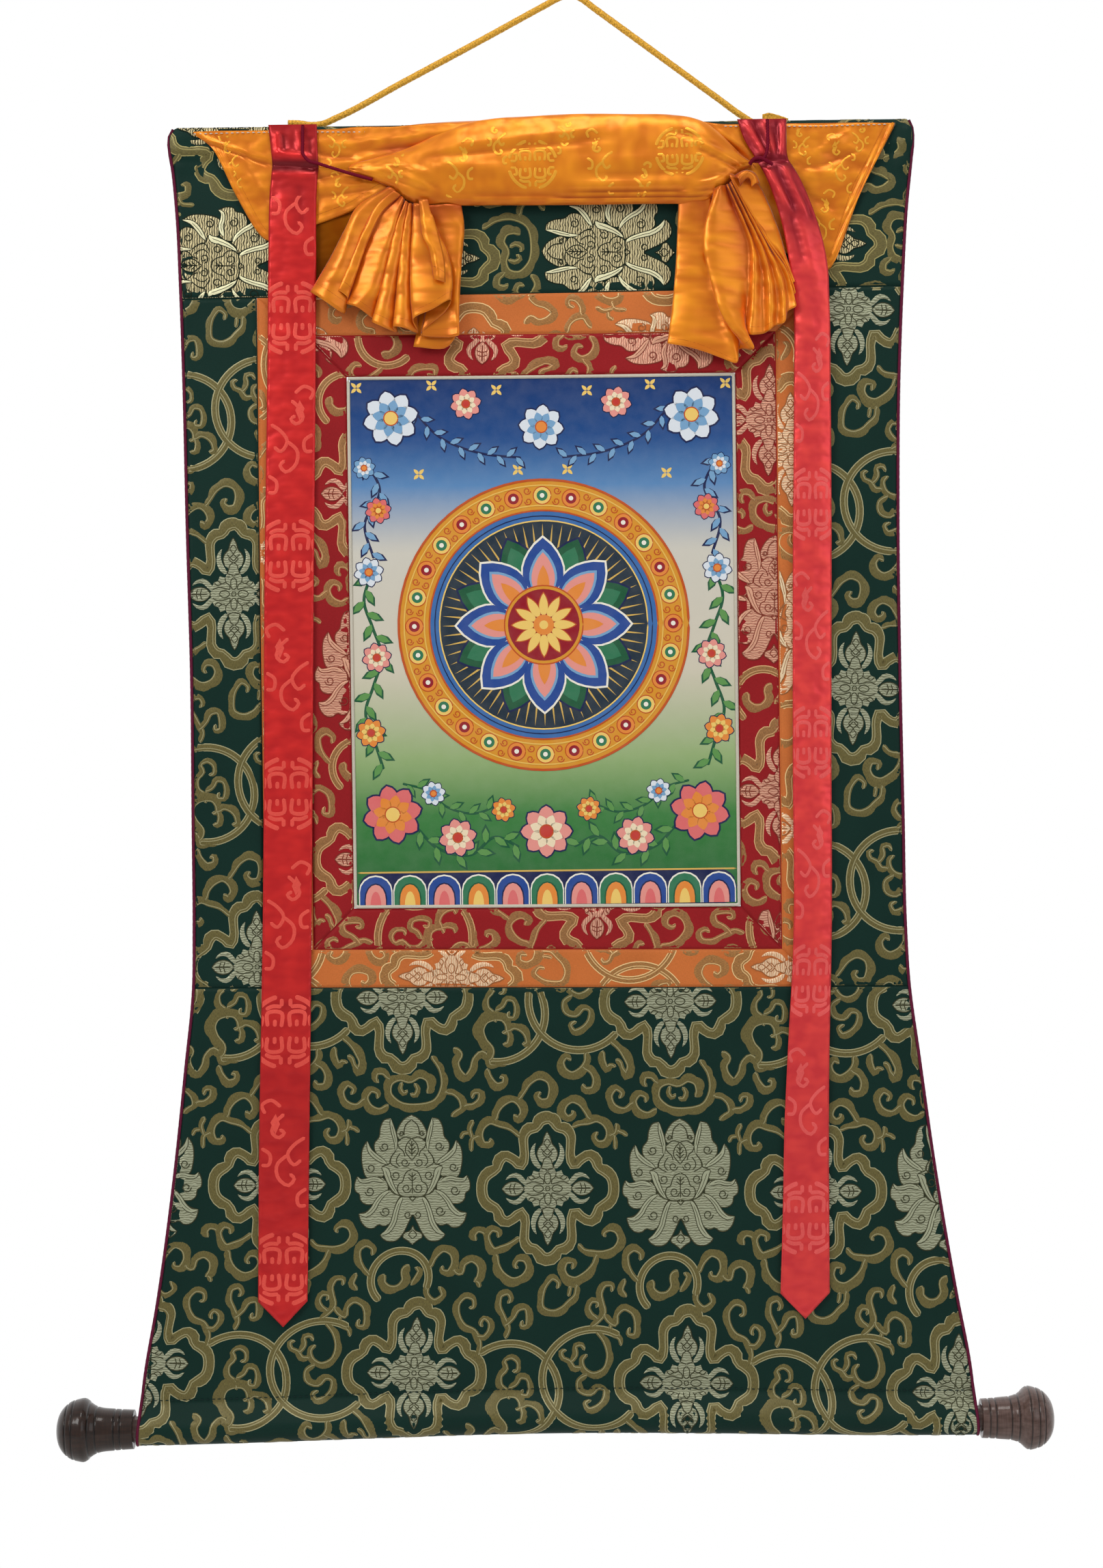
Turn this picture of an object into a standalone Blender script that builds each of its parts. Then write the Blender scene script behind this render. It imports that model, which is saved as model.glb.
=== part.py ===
"""Thangka scroll painting on its rods, hanging by a cord.

Metres, +Z up. X runs to the viewer's right and the viewer stands at -Y. The origin is the top of the
hanging cord. The sizes and tables below are in millimetres: across is measured from the scroll's own
axis to the right, drop from its top edge down, and depth from the rods' axis towards the back.
"""

import math

import bmesh
import bpy
import numpy as np

MM = 0.001

# Where the scroll hangs
CORD_TOP_DROP = -77.0          # the cord's centre where it turns over its nail
CORD_TOP_ACROSS = 20.1
CORD_DEPTH = 5.6               # the cord hangs behind the top hem

# Sheets and gaps
CLOTH = 1.2                    # brocade, canvas and veil
RIBBON = 1.0
GAP = 0.4                      # between neighbouring pieces
FRONT = -0.8                   # depth of the front cloth's middle, with the hems' back layer at +0.8
PIPING = 1.8

# Outline of the scroll with its edge piping
OUTLINE = (  # drop, left edge, right edge
    (0, -216.5, 217.5),
    (12, -217.0, 220.0),
    (25, -215.3, 219.0),
    (50, -213.2, 216.2),
    (95, -211.6, 213.0),
    (150, -210.4, 210.2),
    (230, -209.4, 208.7),
    (320, -207.9, 208.7),
    (410, -208.3, 209.4),
    (470, -208.5, 209.9),
    (505, -209.3, 211.6),
    (550, -214.2, 217.2),
    (620, -222.6, 226.3),
    (690, -233.2, 237.2),
    (730, -240.6, 244.3),
    (775, -245.6, 248.4),
)

# Seams: upper left, upper right, lower left and lower right corner, each (across, drop)
PICTURE = ((-113.1, 148.4), (112.4, 148.9), (-112.9, 457.8), (111.6, 459.3))
RED_OUTSIDE = ((-138.2, 122.8), (137.4, 124.0), (-138.0, 482.6), (136.5, 485.6))
ORANGE_OUTSIDE = ((-166.0, 100.4), (163.3, 98.6), (-166.4, 504.5), (162.6, 507.9))
SEAM_HIGH = (99.5, -0.0054)    # drop at the axis, and slope
SEAM_LOW = (506.2, 0.0103)

# Rods
BATTEN_THICK = 3.0
BATTEN_TALL = 12.0
BATTEN_TOP = 1.7
DOWEL_RADIUS = 7.5
DOWEL_DROP = 762.2
DOWEL_BOW = 4.0                # its middle is this much higher than its ends
SLEEVE_RADIUS = 9.1            # middle of the cloth round the dowel
SLEEVE_PINCH = 16.0            # the sewn line above the dowel's centre
SLEEVE_FLAP = 22.0
KNOB_LEFT = -246.6             # where the left and right knobs start
KNOB_RIGHT = 249.6
SOCKET_RADIUS = 8.1
SOCKET_DEPTH = 9.0
KNOB_PROFILE = (  # distance from the cloth's end, radius
    (46.0, 0.0),
    (45.5, 6.0),
    (43.6, 11.5),
    (40.6, 15.6),
    (37.0, 18.2),
    (32.6, 19.4),
    (29.0, 18.9),
    (26.0, 16.6),
    (24.2, 13.8),
    (22.4, 12.2),
    (11.0, 11.2),
    (0.0, 11.0),
)

# The veil: sewn along the top edge, lifted into a band in the middle
VEIL_STITCH = 3.0              # drop of its sewn top edge
VEIL = (  # across, loose lower edge's drop, share lifted into the band, band's top and lowest fold, bulge
    (-201.0, 4.2, 0.00, 2, 4, 0),
    (-190.0, 14.0, 0.00, 2, 14, 0),
    (-177.0, 41.0, 0.00, 2, 41, 0),
    (-160.5, 66.5, 0.00, 2, 66, 0),
    (-145.0, 63.0, 0.00, 2, 63, 0),
    (-130.0, 58.0, 0.00, 2, 58, 0),
    (-113.0, 51.5, 0.05, 1, 40, 4),
    (-98.0, 44.0, 0.35, 0, 37, 6),
    (-86.0, 38.0, 0.90, -1.0, 42, 9),
    (-68.0, 36.0, 1.00, -2.0, 47, 10),
    (-35.0, 36.0, 1.00, -3.0, 49, 9),
    (10.0, 36.0, 1.00, -3.6, 50, 8.5),
    (55.0, 36.0, 1.00, -2.6, 50, 9),
    (84.0, 38.0, 1.00, -1.0, 49, 10),
    (98.0, 42.0, 0.95, 0.5, 48, 10),
    (107.0, 46.0, 0.60, 2, 44, 8),
    (115.0, 49.0, 0.10, 2, 36, 4),
    (126.0, 54.0, 0.00, 2, 54, 0),
    (140.0, 74.0, 0.00, 2, 74, 0),
    (156.0, 86.0, 0.00, 2, 86, 0),
    (169.0, 88.5, 0.00, 2, 88, 0),
    (187.5, 45.3, 0.00, 2, 45, 0),
    (208.0, 4.2, 0.00, 2, 4, 0),
)
BAND_SECTION = (  # share of the bulge forward, share of the way from the band's top to its lowest fold
    (0.00, 0.09),
    (0.22, 0.01),
    (0.52, 0.03),
    (0.78, 0.14),
    (0.95, 0.32),
    (1.00, 0.54),
    (0.93, 0.74),
    (0.82, 0.90),
    (0.58, 0.985),
    (0.36, 0.96),
    (0.24, 0.86),
    (0.16, 0.72),
    (0.10, 0.58),
)
LEFT_TAIL_ROOT = ((-95.0, 35.0), (-80.0, 41.0), (-64.0, 43.0), (-47.0, 44.0))
LEFT_TAIL_HEM = ((-132.5, 99.0), (-98.0, 118.0), (-70.0, 132.0), (-48.5, 127.0))
RIGHT_TAIL_ROOT = ((83.0, 43.0), (97.0, 42.0), (109.0, 36.0), (121.0, 32.0))
RIGHT_TAIL_HEM = ((74.0, 132.5), (106.0, 143.0), (133.0, 127.0), (147.0, 100.0))
TAIL_PLEATS = 6
TAIL_PLEAT_DEPTH = 3.4
TAIL_ROOT_DEPTH = -8.6
TAIL_HEM_DEPTH = -9.0

# Ribbons and the ties that hold the veil up
RIBBON_POINT = 15.0            # length of the pointed end
LEFT_RIBBON = (  # drop, left edge, right edge, depth, bulge of the middle
    (0.3, -157.5, -129.2, -5.7, 0.0),
    (12, -156.4, -129.0, -5.7, 0.0),
    (22, -155.6, -128.6, -5.7, 0.6),
    (40, -157.2, -129.8, -5.4, 0.8),
    (80, -158.6, -130.6, -4.4, 0.5),
    (130, -159.8, -131.6, -3.4, 0.3),
    (210, -161.8, -133.2, -3.4, 0.5),
    (286, -163.7, -134.9, -3.4, 0.3),
    (370, -165.2, -136.6, -3.4, 0.5),
    (446, -166.6, -138.1, -3.4, 0.3),
    (526, -168.8, -139.8, -3.4, 0.5),
    (600, -171.0, -141.7, -3.4, 0.4),
    (688, -172.8, -143.9, -3.4, 0.0),
)
RIGHT_RIBBON = (
    (0.6, 116.2, 145.0, -5.7, 0.0),
    (12, 120.0, 144.8, -6.0, 0.8),
    (24, 126.6, 145.6, -7.2, 1.6),
    (34, 131.8, 151.0, -8.4, 1.8),
    (57, 139.8, 160.4, -8.6, 1.6),
    (85, 145.2, 167.2, -8.0, 1.6),
    (110, 147.4, 168.4, -7.0, 1.6),
    (160, 147.2, 168.6, -5.4, 1.5),
    (250, 145.6, 168.2, -4.2, 1.4),
    (370, 144.0, 166.6, -4.0, 1.4),
    (490, 142.4, 165.0, -4.0, 1.2),
    (540, 139.2, 163.4, -3.8, 0.9),
    (590, 136.4, 162.4, -3.6, 0.6),
    (640, 134.8, 162.0, -3.5, 0.4),
    (687, 132.8, 161.6, -3.4, 0.0),
)
TIE = 2.0
LEFT_TIE = (  # across, drop, depth
    (-137.2, 1.4, -7.9),
    (-137.3, 11.0, -8.0),
    (-137.0, 18.6, -8.3),
    (-134.2, 22.0, -8.3),
    (-128.2, 23.9, -8.0),
    (-118.0, 27.2, -7.4),
    (-108.0, 30.4, -7.8),
)
RIGHT_TIE = (
    (133.6, 1.6, -8.4),
    (133.6, 11.0, -9.0),
    (133.2, 19.0, -10.4),
    (131.6, 24.0, -11.2),
    (128.4, 26.6, -11.0),
    (124.4, 26.6, -10.2),
)
CORD = 3.6
CORD_ROUTE = (  # across, drop
    (-147.0, -1.3),
    (-140.5, -0.6),
    (-134.0, 0.2),
    (-127.5, -1.0),
    (-118.0, -5.8),
    (-80.0, -25.9),
    (-30.0, -52.0),
    (5.0, -70.6),
    (13.5, -75.0),
    (20.1, -77.0),
    (26.0, -74.4),
    (34.0, -68.4),
    (70.0, -41.4),
    (105.0, -15.2),
    (121.0, -3.4),
    (127.5, 0.4),
    (133.5, 1.4),
    (140.0, 0.0),
    (146.5, -0.4),
)

COLLECTION = bpy.data.collections.new("Thangka scroll painting")
CUTTERS = bpy.data.collections.new("Cutters")


# Measures

def place_in_world(across, depth, drop):
    """World coordinates of points given in the scroll's own measure."""
    return np.stack(
        (
            (across - CORD_TOP_ACROSS) * MM,
            (depth - CORD_DEPTH) * MM,
            (CORD_TOP_DROP - drop) * MM,
        ),
        axis=-1,
    )


def smooth(stops, values, at):
    """A column of a table read at any stop, on a smooth curve through its rows."""
    stops, values = np.asarray(stops, float), np.asarray(values, float)
    slopes = np.gradient(values, stops)
    i = np.clip(np.searchsorted(stops, at) - 1, 0, len(stops) - 2)
    width = stops[i + 1] - stops[i]
    t = np.clip((at - stops[i]) / width, 0.0, 1.0)
    return (
        values[i] * (1 + 2 * t) * (1 - t) ** 2
        + slopes[i] * width * t * (1 - t) ** 2
        + values[i + 1] * (3 - 2 * t) * t ** 2
        + slopes[i + 1] * width * (t - 1) * t ** 2
    )


def ease(t):
    """0 before 0, 1 after 1, and a soft step between."""
    t = np.clip(t, 0.0, 1.0)
    return t * t * (3 - 2 * t)


def left_edge(drop):
    rows = np.array(OUTLINE)
    return smooth(rows[:, 0], rows[:, 1], drop)


def right_edge(drop):
    rows = np.array(OUTLINE)
    return smooth(rows[:, 0], rows[:, 2], drop)


def seam(line, across):
    return line[0] + line[1] * across


def dowel_drop(across):
    """The dowel's centre line: level at its ends and bowed up in the middle."""
    return DOWEL_DROP - DOWEL_BOW * 0.5 * (1 + np.cos(np.pi * across / 250.0))


def cockle(across, drop):
    """Soft waves of the hanging cloth, none at the two rods."""
    free = ease((drop - 20) / 90) * ease((745 - drop) / 110)
    wide = 1.1 * np.sin(2 * np.pi * (across / 330 + 0.12) + drop / 210)
    tall = 0.8 * np.sin(2 * np.pi * drop / 290 + across / 150)
    return free * (wide + tall)


def cloth_depth(across, drop):
    return FRONT + cockle(across, drop)


def covering_depth(across, drop):
    """What lies on the top hem stands clear of it, and comes back to the cloth below."""
    hem = -(BATTEN_THICK / 2 + GAP + CLOTH / 2)
    return cloth_depth(across, drop) + (hem - FRONT) * (1 - ease((drop - 22) / 50))


# Ways of making a piece

def finish(name, colour, roughness, metallic=0.0):
    """A material of the piece's own colour."""
    material = bpy.data.materials.new(name)
    material.use_nodes = True
    shader = material.node_tree.nodes["Principled BSDF"]
    shader.inputs["Base Color"].default_value = (*colour, 1.0)
    shader.inputs["Roughness"].default_value = roughness
    shader.inputs["Metallic"].default_value = metallic
    return material


def add_piece(name, data, colour, roughness, collection=COLLECTION):
    piece = bpy.data.objects.new(name, data)
    collection.objects.link(piece)
    data.materials.append(finish(name, colour, roughness))
    return piece


def sheet(name, place, columns, rows, colour, thickness=CLOTH, collection=COLLECTION, even=True):
    """A sheet of cloth: a grid bent by place(u, v), u to the right and v downwards, both 0 to 1."""
    grid = bmesh.new()
    bmesh.ops.create_grid(grid, x_segments=columns, y_segments=rows, size=1.0)
    mesh = bpy.data.meshes.new(name)
    grid.to_mesh(mesh)
    grid.free()
    points = np.empty(len(mesh.vertices) * 3)
    mesh.vertices.foreach_get("co", points)
    points = points.reshape(-1, 3)
    u, v = (points[:, 0] + 1) / 2, (1 - points[:, 1]) / 2
    mesh.vertices.foreach_set("co", place_in_world(*place(u, v)).ravel())
    mesh.update()
    piece = add_piece(name, mesh, colour, 0.7, collection)
    solidify = piece.modifiers.new("Thickness", "SOLIDIFY")
    solidify.thickness = thickness * MM
    solidify.offset = 0.0
    solidify.use_even_offset = even
    return piece


def tube(name, points, width, colour, closed=False):
    """A round cord or piping along points in the world."""
    curve = bpy.data.curves.new(name, "CURVE")
    curve.dimensions = "3D"
    curve.bevel_depth = width / 2 * MM
    curve.bevel_resolution = 1
    curve.use_fill_caps = not closed
    line = curve.splines.new("POLY")
    line.points.add(len(points) - 1)
    for point, place in zip(line.points, points, strict=True):
        point.co = (*place, 1.0)
    line.use_cyclic_u = closed
    return add_piece(name, curve, colour, 0.6)


def route(table, count):
    """Points at even steps on a smooth curve through the rows of a table."""
    rows = np.array(table, float)
    steps = np.linalg.norm(np.diff(rows, axis=0), axis=1)
    along = np.concatenate([[0.0], np.cumsum(steps)])
    at = np.linspace(0.0, along[-1], count)
    return np.stack([smooth(along, column, at) for column in rows.T], axis=-1)


# Brocade panels

BROCADE = (0.010, 0.035, 0.030)
ORANGE = (0.60, 0.20, 0.045)
RED = (0.38, 0.012, 0.022)
CANVAS = (0.10, 0.16, 0.30)
MAGENTA = (0.16, 0.012, 0.045)
SILK = (0.85, 0.33, 0.02)
CRIMSON = (0.62, 0.022, 0.03)
WALNUT = (0.07, 0.035, 0.022)
INSET = PIPING + GAP


def rows_at(v, stations):
    """Looks up each row's station, counted from v = 0 to 1."""
    stations = np.array(stations, float)
    return stations[np.rint(v * (len(stations) - 1)).astype(int)].T


def make_top_panel():
    """From the back flap's edge, up, over the batten and down the front to the seam."""
    reach = BATTEN_THICK / 2 + GAP + CLOTH / 2
    centre = reach + CLOTH / 2
    arc = [math.radians(angle) for angle in (0, 45, 90, 135, 180)]
    section = [(27.0, -FRONT), (20.0, -FRONT), (14.5, reach)]
    section += [(centre - reach * math.sin(a), reach * math.cos(a)) for a in arc]
    section += [(14.5, -reach), (20.0, FRONT)]
    hem = len(section)
    lower = [0.28, 0.52, 0.76, 1.0]
    stations = section + [(share, FRONT) for share in lower]

    def place(u, v):
        drop, depth = rows_at(v, stations)
        row = np.rint(v * (len(stations) - 1)).astype(int)
        across = -215 + 430 * u
        end = seam(SEAM_HIGH, across) - GAP / 2
        below = row >= hem
        drop = np.where(below, 20 + (end - 20) * drop, drop)
        left, right = left_edge(drop) + INSET, right_edge(drop) - INSET
        across = left + (right - left) * u
        depth = np.where(below, cloth_depth(across, drop), depth)
        return across, depth, drop

    return sheet("top_panel", place, 10, len(stations) - 1, BROCADE)


def make_bottom_panel():
    """From the seam down the front, round the dowel and up to the sewn line at the back."""
    turn = math.acos(SLEEVE_RADIUS / math.hypot(FRONT, SLEEVE_PINCH))
    arc = np.linspace(turn, 2 * math.pi - turn, 10)
    sleeve = [(-SLEEVE_PINCH, FRONT)]
    sleeve += [(-SLEEVE_RADIUS * math.cos(a), -SLEEVE_RADIUS * math.sin(a)) for a in arc]
    sleeve += [(-SLEEVE_PINCH, -FRONT), (-SLEEVE_FLAP, -FRONT)]
    shares = np.linspace(0, 1, 9)[:-1]
    stations = [(share, FRONT) for share in shares] + sleeve
    front = len(shares)

    def place(u, v):
        drop, depth = rows_at(v, stations)
        row = np.rint(v * (len(stations) - 1)).astype(int)
        across = -245 + 493 * u
        start = seam(SEAM_LOW, across) + GAP / 2
        centre = dowel_drop(across)
        above = row < front
        drop = np.where(above, start + (centre - SLEEVE_PINCH - start) * drop, centre + drop)
        left, right = left_edge(drop) + INSET, right_edge(drop) - INSET
        across = left + (right - left) * u
        depth = np.where(above, cloth_depth(across, drop), depth)
        return across, depth, drop

    return sheet("bottom_panel", place, 10, len(stations) - 1, BROCADE)


def make_side_panels():
    def place_between(u, v, inner, left_side):
        drop = SEAM_HIGH[0] + (SEAM_LOW[0] - SEAM_HIGH[0]) * v
        if left_side:
            left, right = left_edge(drop) + INSET, inner - GAP / 2
        else:
            left, right = inner + GAP / 2, right_edge(drop) - INSET
        across = left + (right - left) * u
        high, low = seam(SEAM_HIGH, across), seam(SEAM_LOW, across)
        drop = high + GAP / 2 + (low - high - GAP) * v
        return across, cloth_depth(across, drop), drop

    def place_left(u, v):
        return place_between(u, v, ORANGE_OUTSIDE[0][0], True)

    def place_right(u, v):
        return place_between(u, v, ORANGE_OUTSIDE[1][0], False)

    sheet("left_panel", place_left, 2, 11, BROCADE)
    sheet("right_panel", place_right, 2, 11, BROCADE)


def patch(name, corners, columns, rows, colour):
    """A cut of cloth between its upper left, upper right, lower left and lower right corners."""
    corners = np.array(corners, float)

    def place(u, v):
        u, v = u[:, None], v[:, None]
        upper = corners[0] * (1 - u) + corners[1] * u
        lower = corners[2] * (1 - u) + corners[3] * u
        across, drop = (upper * (1 - v) + lower * v).T
        return across, cloth_depth(across, drop), drop

    return sheet(name, place, columns, rows, colour)


def grown(corners, by):
    """The same four corners, each moved outwards by one measure."""
    signs = np.array(((-1, -1), (1, -1), (-1, 1), (1, 1)), float)
    return np.array(corners, float) + signs * by


def make_strips(prefix, inside, outside, colour):
    """Four strips between two outlines, mitred at their corners."""
    inner, outer = inside, grown(outside, -GAP / 2)
    along = np.array((GAP * 0.75, 0.0))
    down = np.array((0.0, GAP * 0.75))
    strips = {
        "top": (outer[0] + along, outer[1] - along, inner[0] + along, inner[1] - along),
        "bottom": (inner[2] + along, inner[3] - along, outer[2] + along, outer[3] - along),
        "left": (outer[0] + down, inner[0] + down, outer[2] - down, inner[2] - down),
        "right": (inner[1] + down, outer[1] + down, inner[3] - down, outer[3] - down),
    }
    for side, corners in strips.items():
        lengthwise = side in ("top", "bottom")
        columns, rows = (8, 1) if lengthwise else (1, 9)
        patch(f"{prefix}_strip_{side}", corners, columns, rows, colour)


def make_picture():
    beside_piping = PIPING / 2 + GAP
    patch("picture_canvas", grown(PICTURE, -beside_piping), 6, 8, CANVAS)
    corners = np.array(PICTURE, float)[[0, 1, 3, 2]]
    points = []
    for start, end in zip(corners, np.roll(corners, -1, axis=0), strict=True):
        count = 6 if abs(end[0] - start[0]) > abs(end[1] - start[1]) else 8
        points += [start + (end - start) * step / count for step in range(count)]
    across, drop = np.array(points).T
    points = place_in_world(across, cloth_depth(across, drop), drop)
    tube("picture_piping", points, PIPING, (0.75, 0.70, 0.60), closed=True)
    make_strips("red", grown(PICTURE, beside_piping), RED_OUTSIDE, RED)
    make_strips("orange", grown(RED_OUTSIDE, GAP / 2), ORANGE_OUTSIDE, ORANGE)


def make_edge_pipings():
    """Piping down the two long edges, from the top hem over the front of the sleeve."""
    reach = BATTEN_THICK / 2 + GAP + CLOTH / 2
    for name, edge, side in (("left", left_edge, 1), ("right", right_edge, -1)):
        drop = np.concatenate([[1.6, 14.5, 20.0], np.linspace(45, 735, 17)])
        across = edge(drop) + side * PIPING / 2
        depth = np.where(drop < 16, -reach, cloth_depth(across, drop))
        centre = dowel_drop(across[-1])
        angle = np.radians((58, 90, 125, 165))
        drop = np.concatenate([drop, [centre - SLEEVE_PINCH], centre - SLEEVE_RADIUS * np.cos(angle)])
        depth = np.concatenate([depth, [FRONT], -SLEEVE_RADIUS * np.sin(angle)])
        across = edge(drop) + side * PIPING / 2
        tube(f"{name}_edge_piping", place_in_world(across, depth, drop), PIPING, MAGENTA)


# Rods

def make_batten():
    left, right = left_edge(8.0) + INSET + 2, right_edge(8.0) - INSET - 2
    bpy.ops.mesh.primitive_cube_add(size=1)
    batten = bpy.context.object
    batten.name = batten.data.name = "top_batten"
    size = ((right - left) * MM, BATTEN_THICK * MM, BATTEN_TALL * MM)
    middle = place_in_world((left + right) / 2, 0.0, BATTEN_TOP + BATTEN_TALL / 2)
    for vertex in batten.data.vertices:
        vertex.co = [c * s for c, s in zip(vertex.co, size, strict=True)]
    batten.location = middle
    batten.data.materials.append(finish("top_batten", (0.30, 0.19, 0.10), 0.7))
    bevel = batten.modifiers.new("Rounded edges", "BEVEL")
    bevel.width = 1.0 * MM
    bevel.segments = 2
    bpy.context.collection.objects.unlink(batten)
    COLLECTION.objects.link(batten)


def make_dowel():
    start, end = KNOB_LEFT - SOCKET_DEPTH + 1, KNOB_RIGHT + SOCKET_DEPTH - 1
    across = np.linspace(start, end, 11)
    drop = dowel_drop(np.clip(across, -250, 250))
    points = place_in_world(across, np.zeros(len(across)), drop)
    dowel = tube("bottom_dowel", points, 2 * DOWEL_RADIUS, (0.20, 0.12, 0.07))
    dowel.data.bevel_resolution = 4


def make_knob(name, across, side):
    """A turned knob with a socket for the dowel's end; side is 1 on the right and -1 on the left."""
    profile = list(KNOB_PROFILE) + [(0.0, SOCKET_RADIUS), (SOCKET_DEPTH, SOCKET_RADIUS), (SOCKET_DEPTH, 0.0)]
    mesh = bpy.data.meshes.new(name)
    points = [(radius * MM, 0.0, out * MM) for out, radius in profile]
    mesh.from_pydata(points, [(i, i + 1) for i in range(len(points) - 1)], [])
    knob = add_piece(name, mesh, WALNUT, 0.4)
    knob.location = place_in_world(across, 0.0, DOWEL_DROP)
    knob.rotation_euler = (0.0, side * math.pi / 2, 0.0)
    screw = knob.modifiers.new("Turned", "SCREW")
    screw.axis = "Z"
    screw.steps = screw.render_steps = 16
    screw.use_merge_vertices = True
    screw.merge_threshold = 0.00001
    screw.use_smooth_shade = True


# Veil, ribbons, ties and cord

def veil_place(u, v):
    """Each column of the veil is flat cloth, a lifted band, or on its way from one to the other."""
    table = np.array(VEIL, float)[np.rint(u * (len(VEIL) - 1)).astype(int)]
    across, loose, lifted, band_top, band_fold, bulge = table.T
    forward, down = rows_at(v, BAND_SECTION)
    flat_drop = VEIL_STITCH + (loose - VEIL_STITCH) * v
    band_drop = band_top + (band_fold - band_top) * down
    drop = flat_drop * (1 - lifted) + band_drop * lifted
    lying = covering_depth(across, np.maximum(drop, 0)) - CLOTH - GAP
    return across, lying - lifted * bulge * forward, drop


def tail_place(root, hem):
    """A gathered end of the veil: pleats that run from the root line and open towards the hem."""
    root, hem = np.array(root, float), np.array(hem, float)
    knots = np.linspace(0, 1, len(root))

    def place(u, v):
        start = [smooth(knots, column, u) for column in root.T]
        end = [smooth(knots, column, u) for column in hem.T]
        across, drop = (s + (e - s) * v for s, e in zip(start, end, strict=True))
        pleat = -np.cos(2 * np.pi * TAIL_PLEATS * u)
        opened = ease((v - 0.1) / 0.75)
        depth = TAIL_ROOT_DEPTH + (TAIL_HEM_DEPTH - TAIL_ROOT_DEPTH) * v
        drop = drop + 1.5 * pleat * opened
        return across, depth + cockle(across, drop) + TAIL_PLEAT_DEPTH * pleat * opened, drop

    return place


def make_veil():
    """One cloth: the band and flat part, joined with the two gathered tails that hang below it."""
    veil = sheet("veil", veil_place, len(VEIL) - 1, len(BAND_SECTION) - 1, SILK, even=False)
    tails = {
        "veil_left_tail": (LEFT_TAIL_ROOT, LEFT_TAIL_HEM),
        "veil_right_tail": (RIGHT_TAIL_ROOT, RIGHT_TAIL_HEM),
    }
    for name, (root, hem) in tails.items():
        tail = sheet(name, tail_place(root, hem), 4 * TAIL_PLEATS, 5, SILK, collection=CUTTERS)
        tail.hide_render = True
        tail.display_type = "WIRE"
        join = veil.modifiers.new(name, "BOOLEAN")
        join.operation = "UNION"
        join.solver = "EXACT"
        join.object = tail


def make_ribbon(name, table):
    rows = np.array(table, float)

    def place(u, v):
        at = rows[0, 0] + (rows[-1, 0] - rows[0, 0]) * v
        left, right, depth, bulge = (smooth(rows[:, 0], column, at) for column in rows[:, 1:].T)
        across = left + (right - left) * u
        arch = 4 * u * (1 - u)
        point = RIBBON_POINT * (1 - np.abs(2 * u - 1)) * ease((v - 0.9) / 0.1)
        drop = at + point
        lying = np.maximum(drop, 0)
        return across, depth + cockle(across, lying) - bulge * arch, drop

    sheet(name, place, 4, 28, CRIMSON, RIBBON)


def make_tie(name, table):
    across, drop, depth = route(table, 14).T
    tube(name, place_in_world(across, depth, drop), TIE, (0.30, 0.01, 0.03))


def make_cord():
    across, drop = route(CORD_ROUTE, 46).T
    points = place_in_world(across, np.full(len(across), CORD_DEPTH), drop)
    tube("hanging_cord", points, CORD, (0.72, 0.42, 0.05))


def main():
    for old in list(bpy.data.objects):
        bpy.data.objects.remove(old, do_unlink=True)
    bpy.context.scene.collection.children.link(COLLECTION)
    bpy.context.scene.collection.children.link(CUTTERS)
    make_top_panel()
    make_side_panels()
    make_bottom_panel()
    make_picture()
    make_edge_pipings()
    make_batten()
    make_dowel()
    make_knob("left_knob", KNOB_LEFT, -1)
    make_knob("right_knob", KNOB_RIGHT, 1)
    make_veil()
    make_ribbon("left_ribbon", LEFT_RIBBON)
    make_ribbon("right_ribbon", RIGHT_RIBBON)
    make_tie("left_tie", LEFT_TIE)
    make_tie("right_tie", RIGHT_TIE)
    make_cord()


main()
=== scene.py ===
import math

import bpy
import numpy as np
from mathutils.geometry import tessellate_polygon
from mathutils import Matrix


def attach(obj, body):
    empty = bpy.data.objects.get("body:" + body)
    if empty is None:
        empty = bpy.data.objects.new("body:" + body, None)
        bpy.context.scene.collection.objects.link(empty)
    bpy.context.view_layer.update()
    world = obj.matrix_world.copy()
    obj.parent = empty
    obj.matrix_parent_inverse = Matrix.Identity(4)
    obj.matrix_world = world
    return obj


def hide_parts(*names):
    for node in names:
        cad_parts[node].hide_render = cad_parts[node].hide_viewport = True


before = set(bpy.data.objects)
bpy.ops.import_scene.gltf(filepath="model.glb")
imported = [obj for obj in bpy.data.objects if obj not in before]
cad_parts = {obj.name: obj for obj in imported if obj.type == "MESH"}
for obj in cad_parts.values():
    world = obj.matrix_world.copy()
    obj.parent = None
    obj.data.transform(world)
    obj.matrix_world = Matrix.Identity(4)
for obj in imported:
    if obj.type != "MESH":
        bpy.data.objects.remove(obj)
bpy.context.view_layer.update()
mm = 0.001

# All tables are in millimetres: across from the scroll's axis to the right, drop from its top edge
# down, depth from the rods' axis to the back. The cord turns over its nail at the frame's origin.
nailAcross, nailDepth, nailDrop = 20.1, 5.6, -77.0


def place(across, depth, drop):
    parts = np.broadcast_arrays((across - nailAcross) * mm, (depth - nailDepth) * mm,
                                (nailDrop - drop) * mm)
    return np.stack(parts, axis=-1)


def smooth(stops, values, at):
    # cubic between the rows of a table, with the slope at each row taken from its neighbours
    stops, values = np.asarray(stops, float), np.asarray(values, float)
    slopes = np.gradient(values, stops)
    i = np.clip(np.searchsorted(stops, at) - 1, 0, len(stops) - 2)
    width = stops[i + 1] - stops[i]
    t = np.clip((at - stops[i]) / width, 0.0, 1.0)
    return (values[i] * (1 + 2 * t) * (1 - t) ** 2 + slopes[i] * width * t * (1 - t) ** 2
            + values[i + 1] * (3 - 2 * t) * t ** 2 + slopes[i + 1] * width * (t - 1) * t ** 2)


def ease(t):
    t = np.clip(t, 0.0, 1.0)
    return t * t * (3 - 2 * t)


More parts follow.
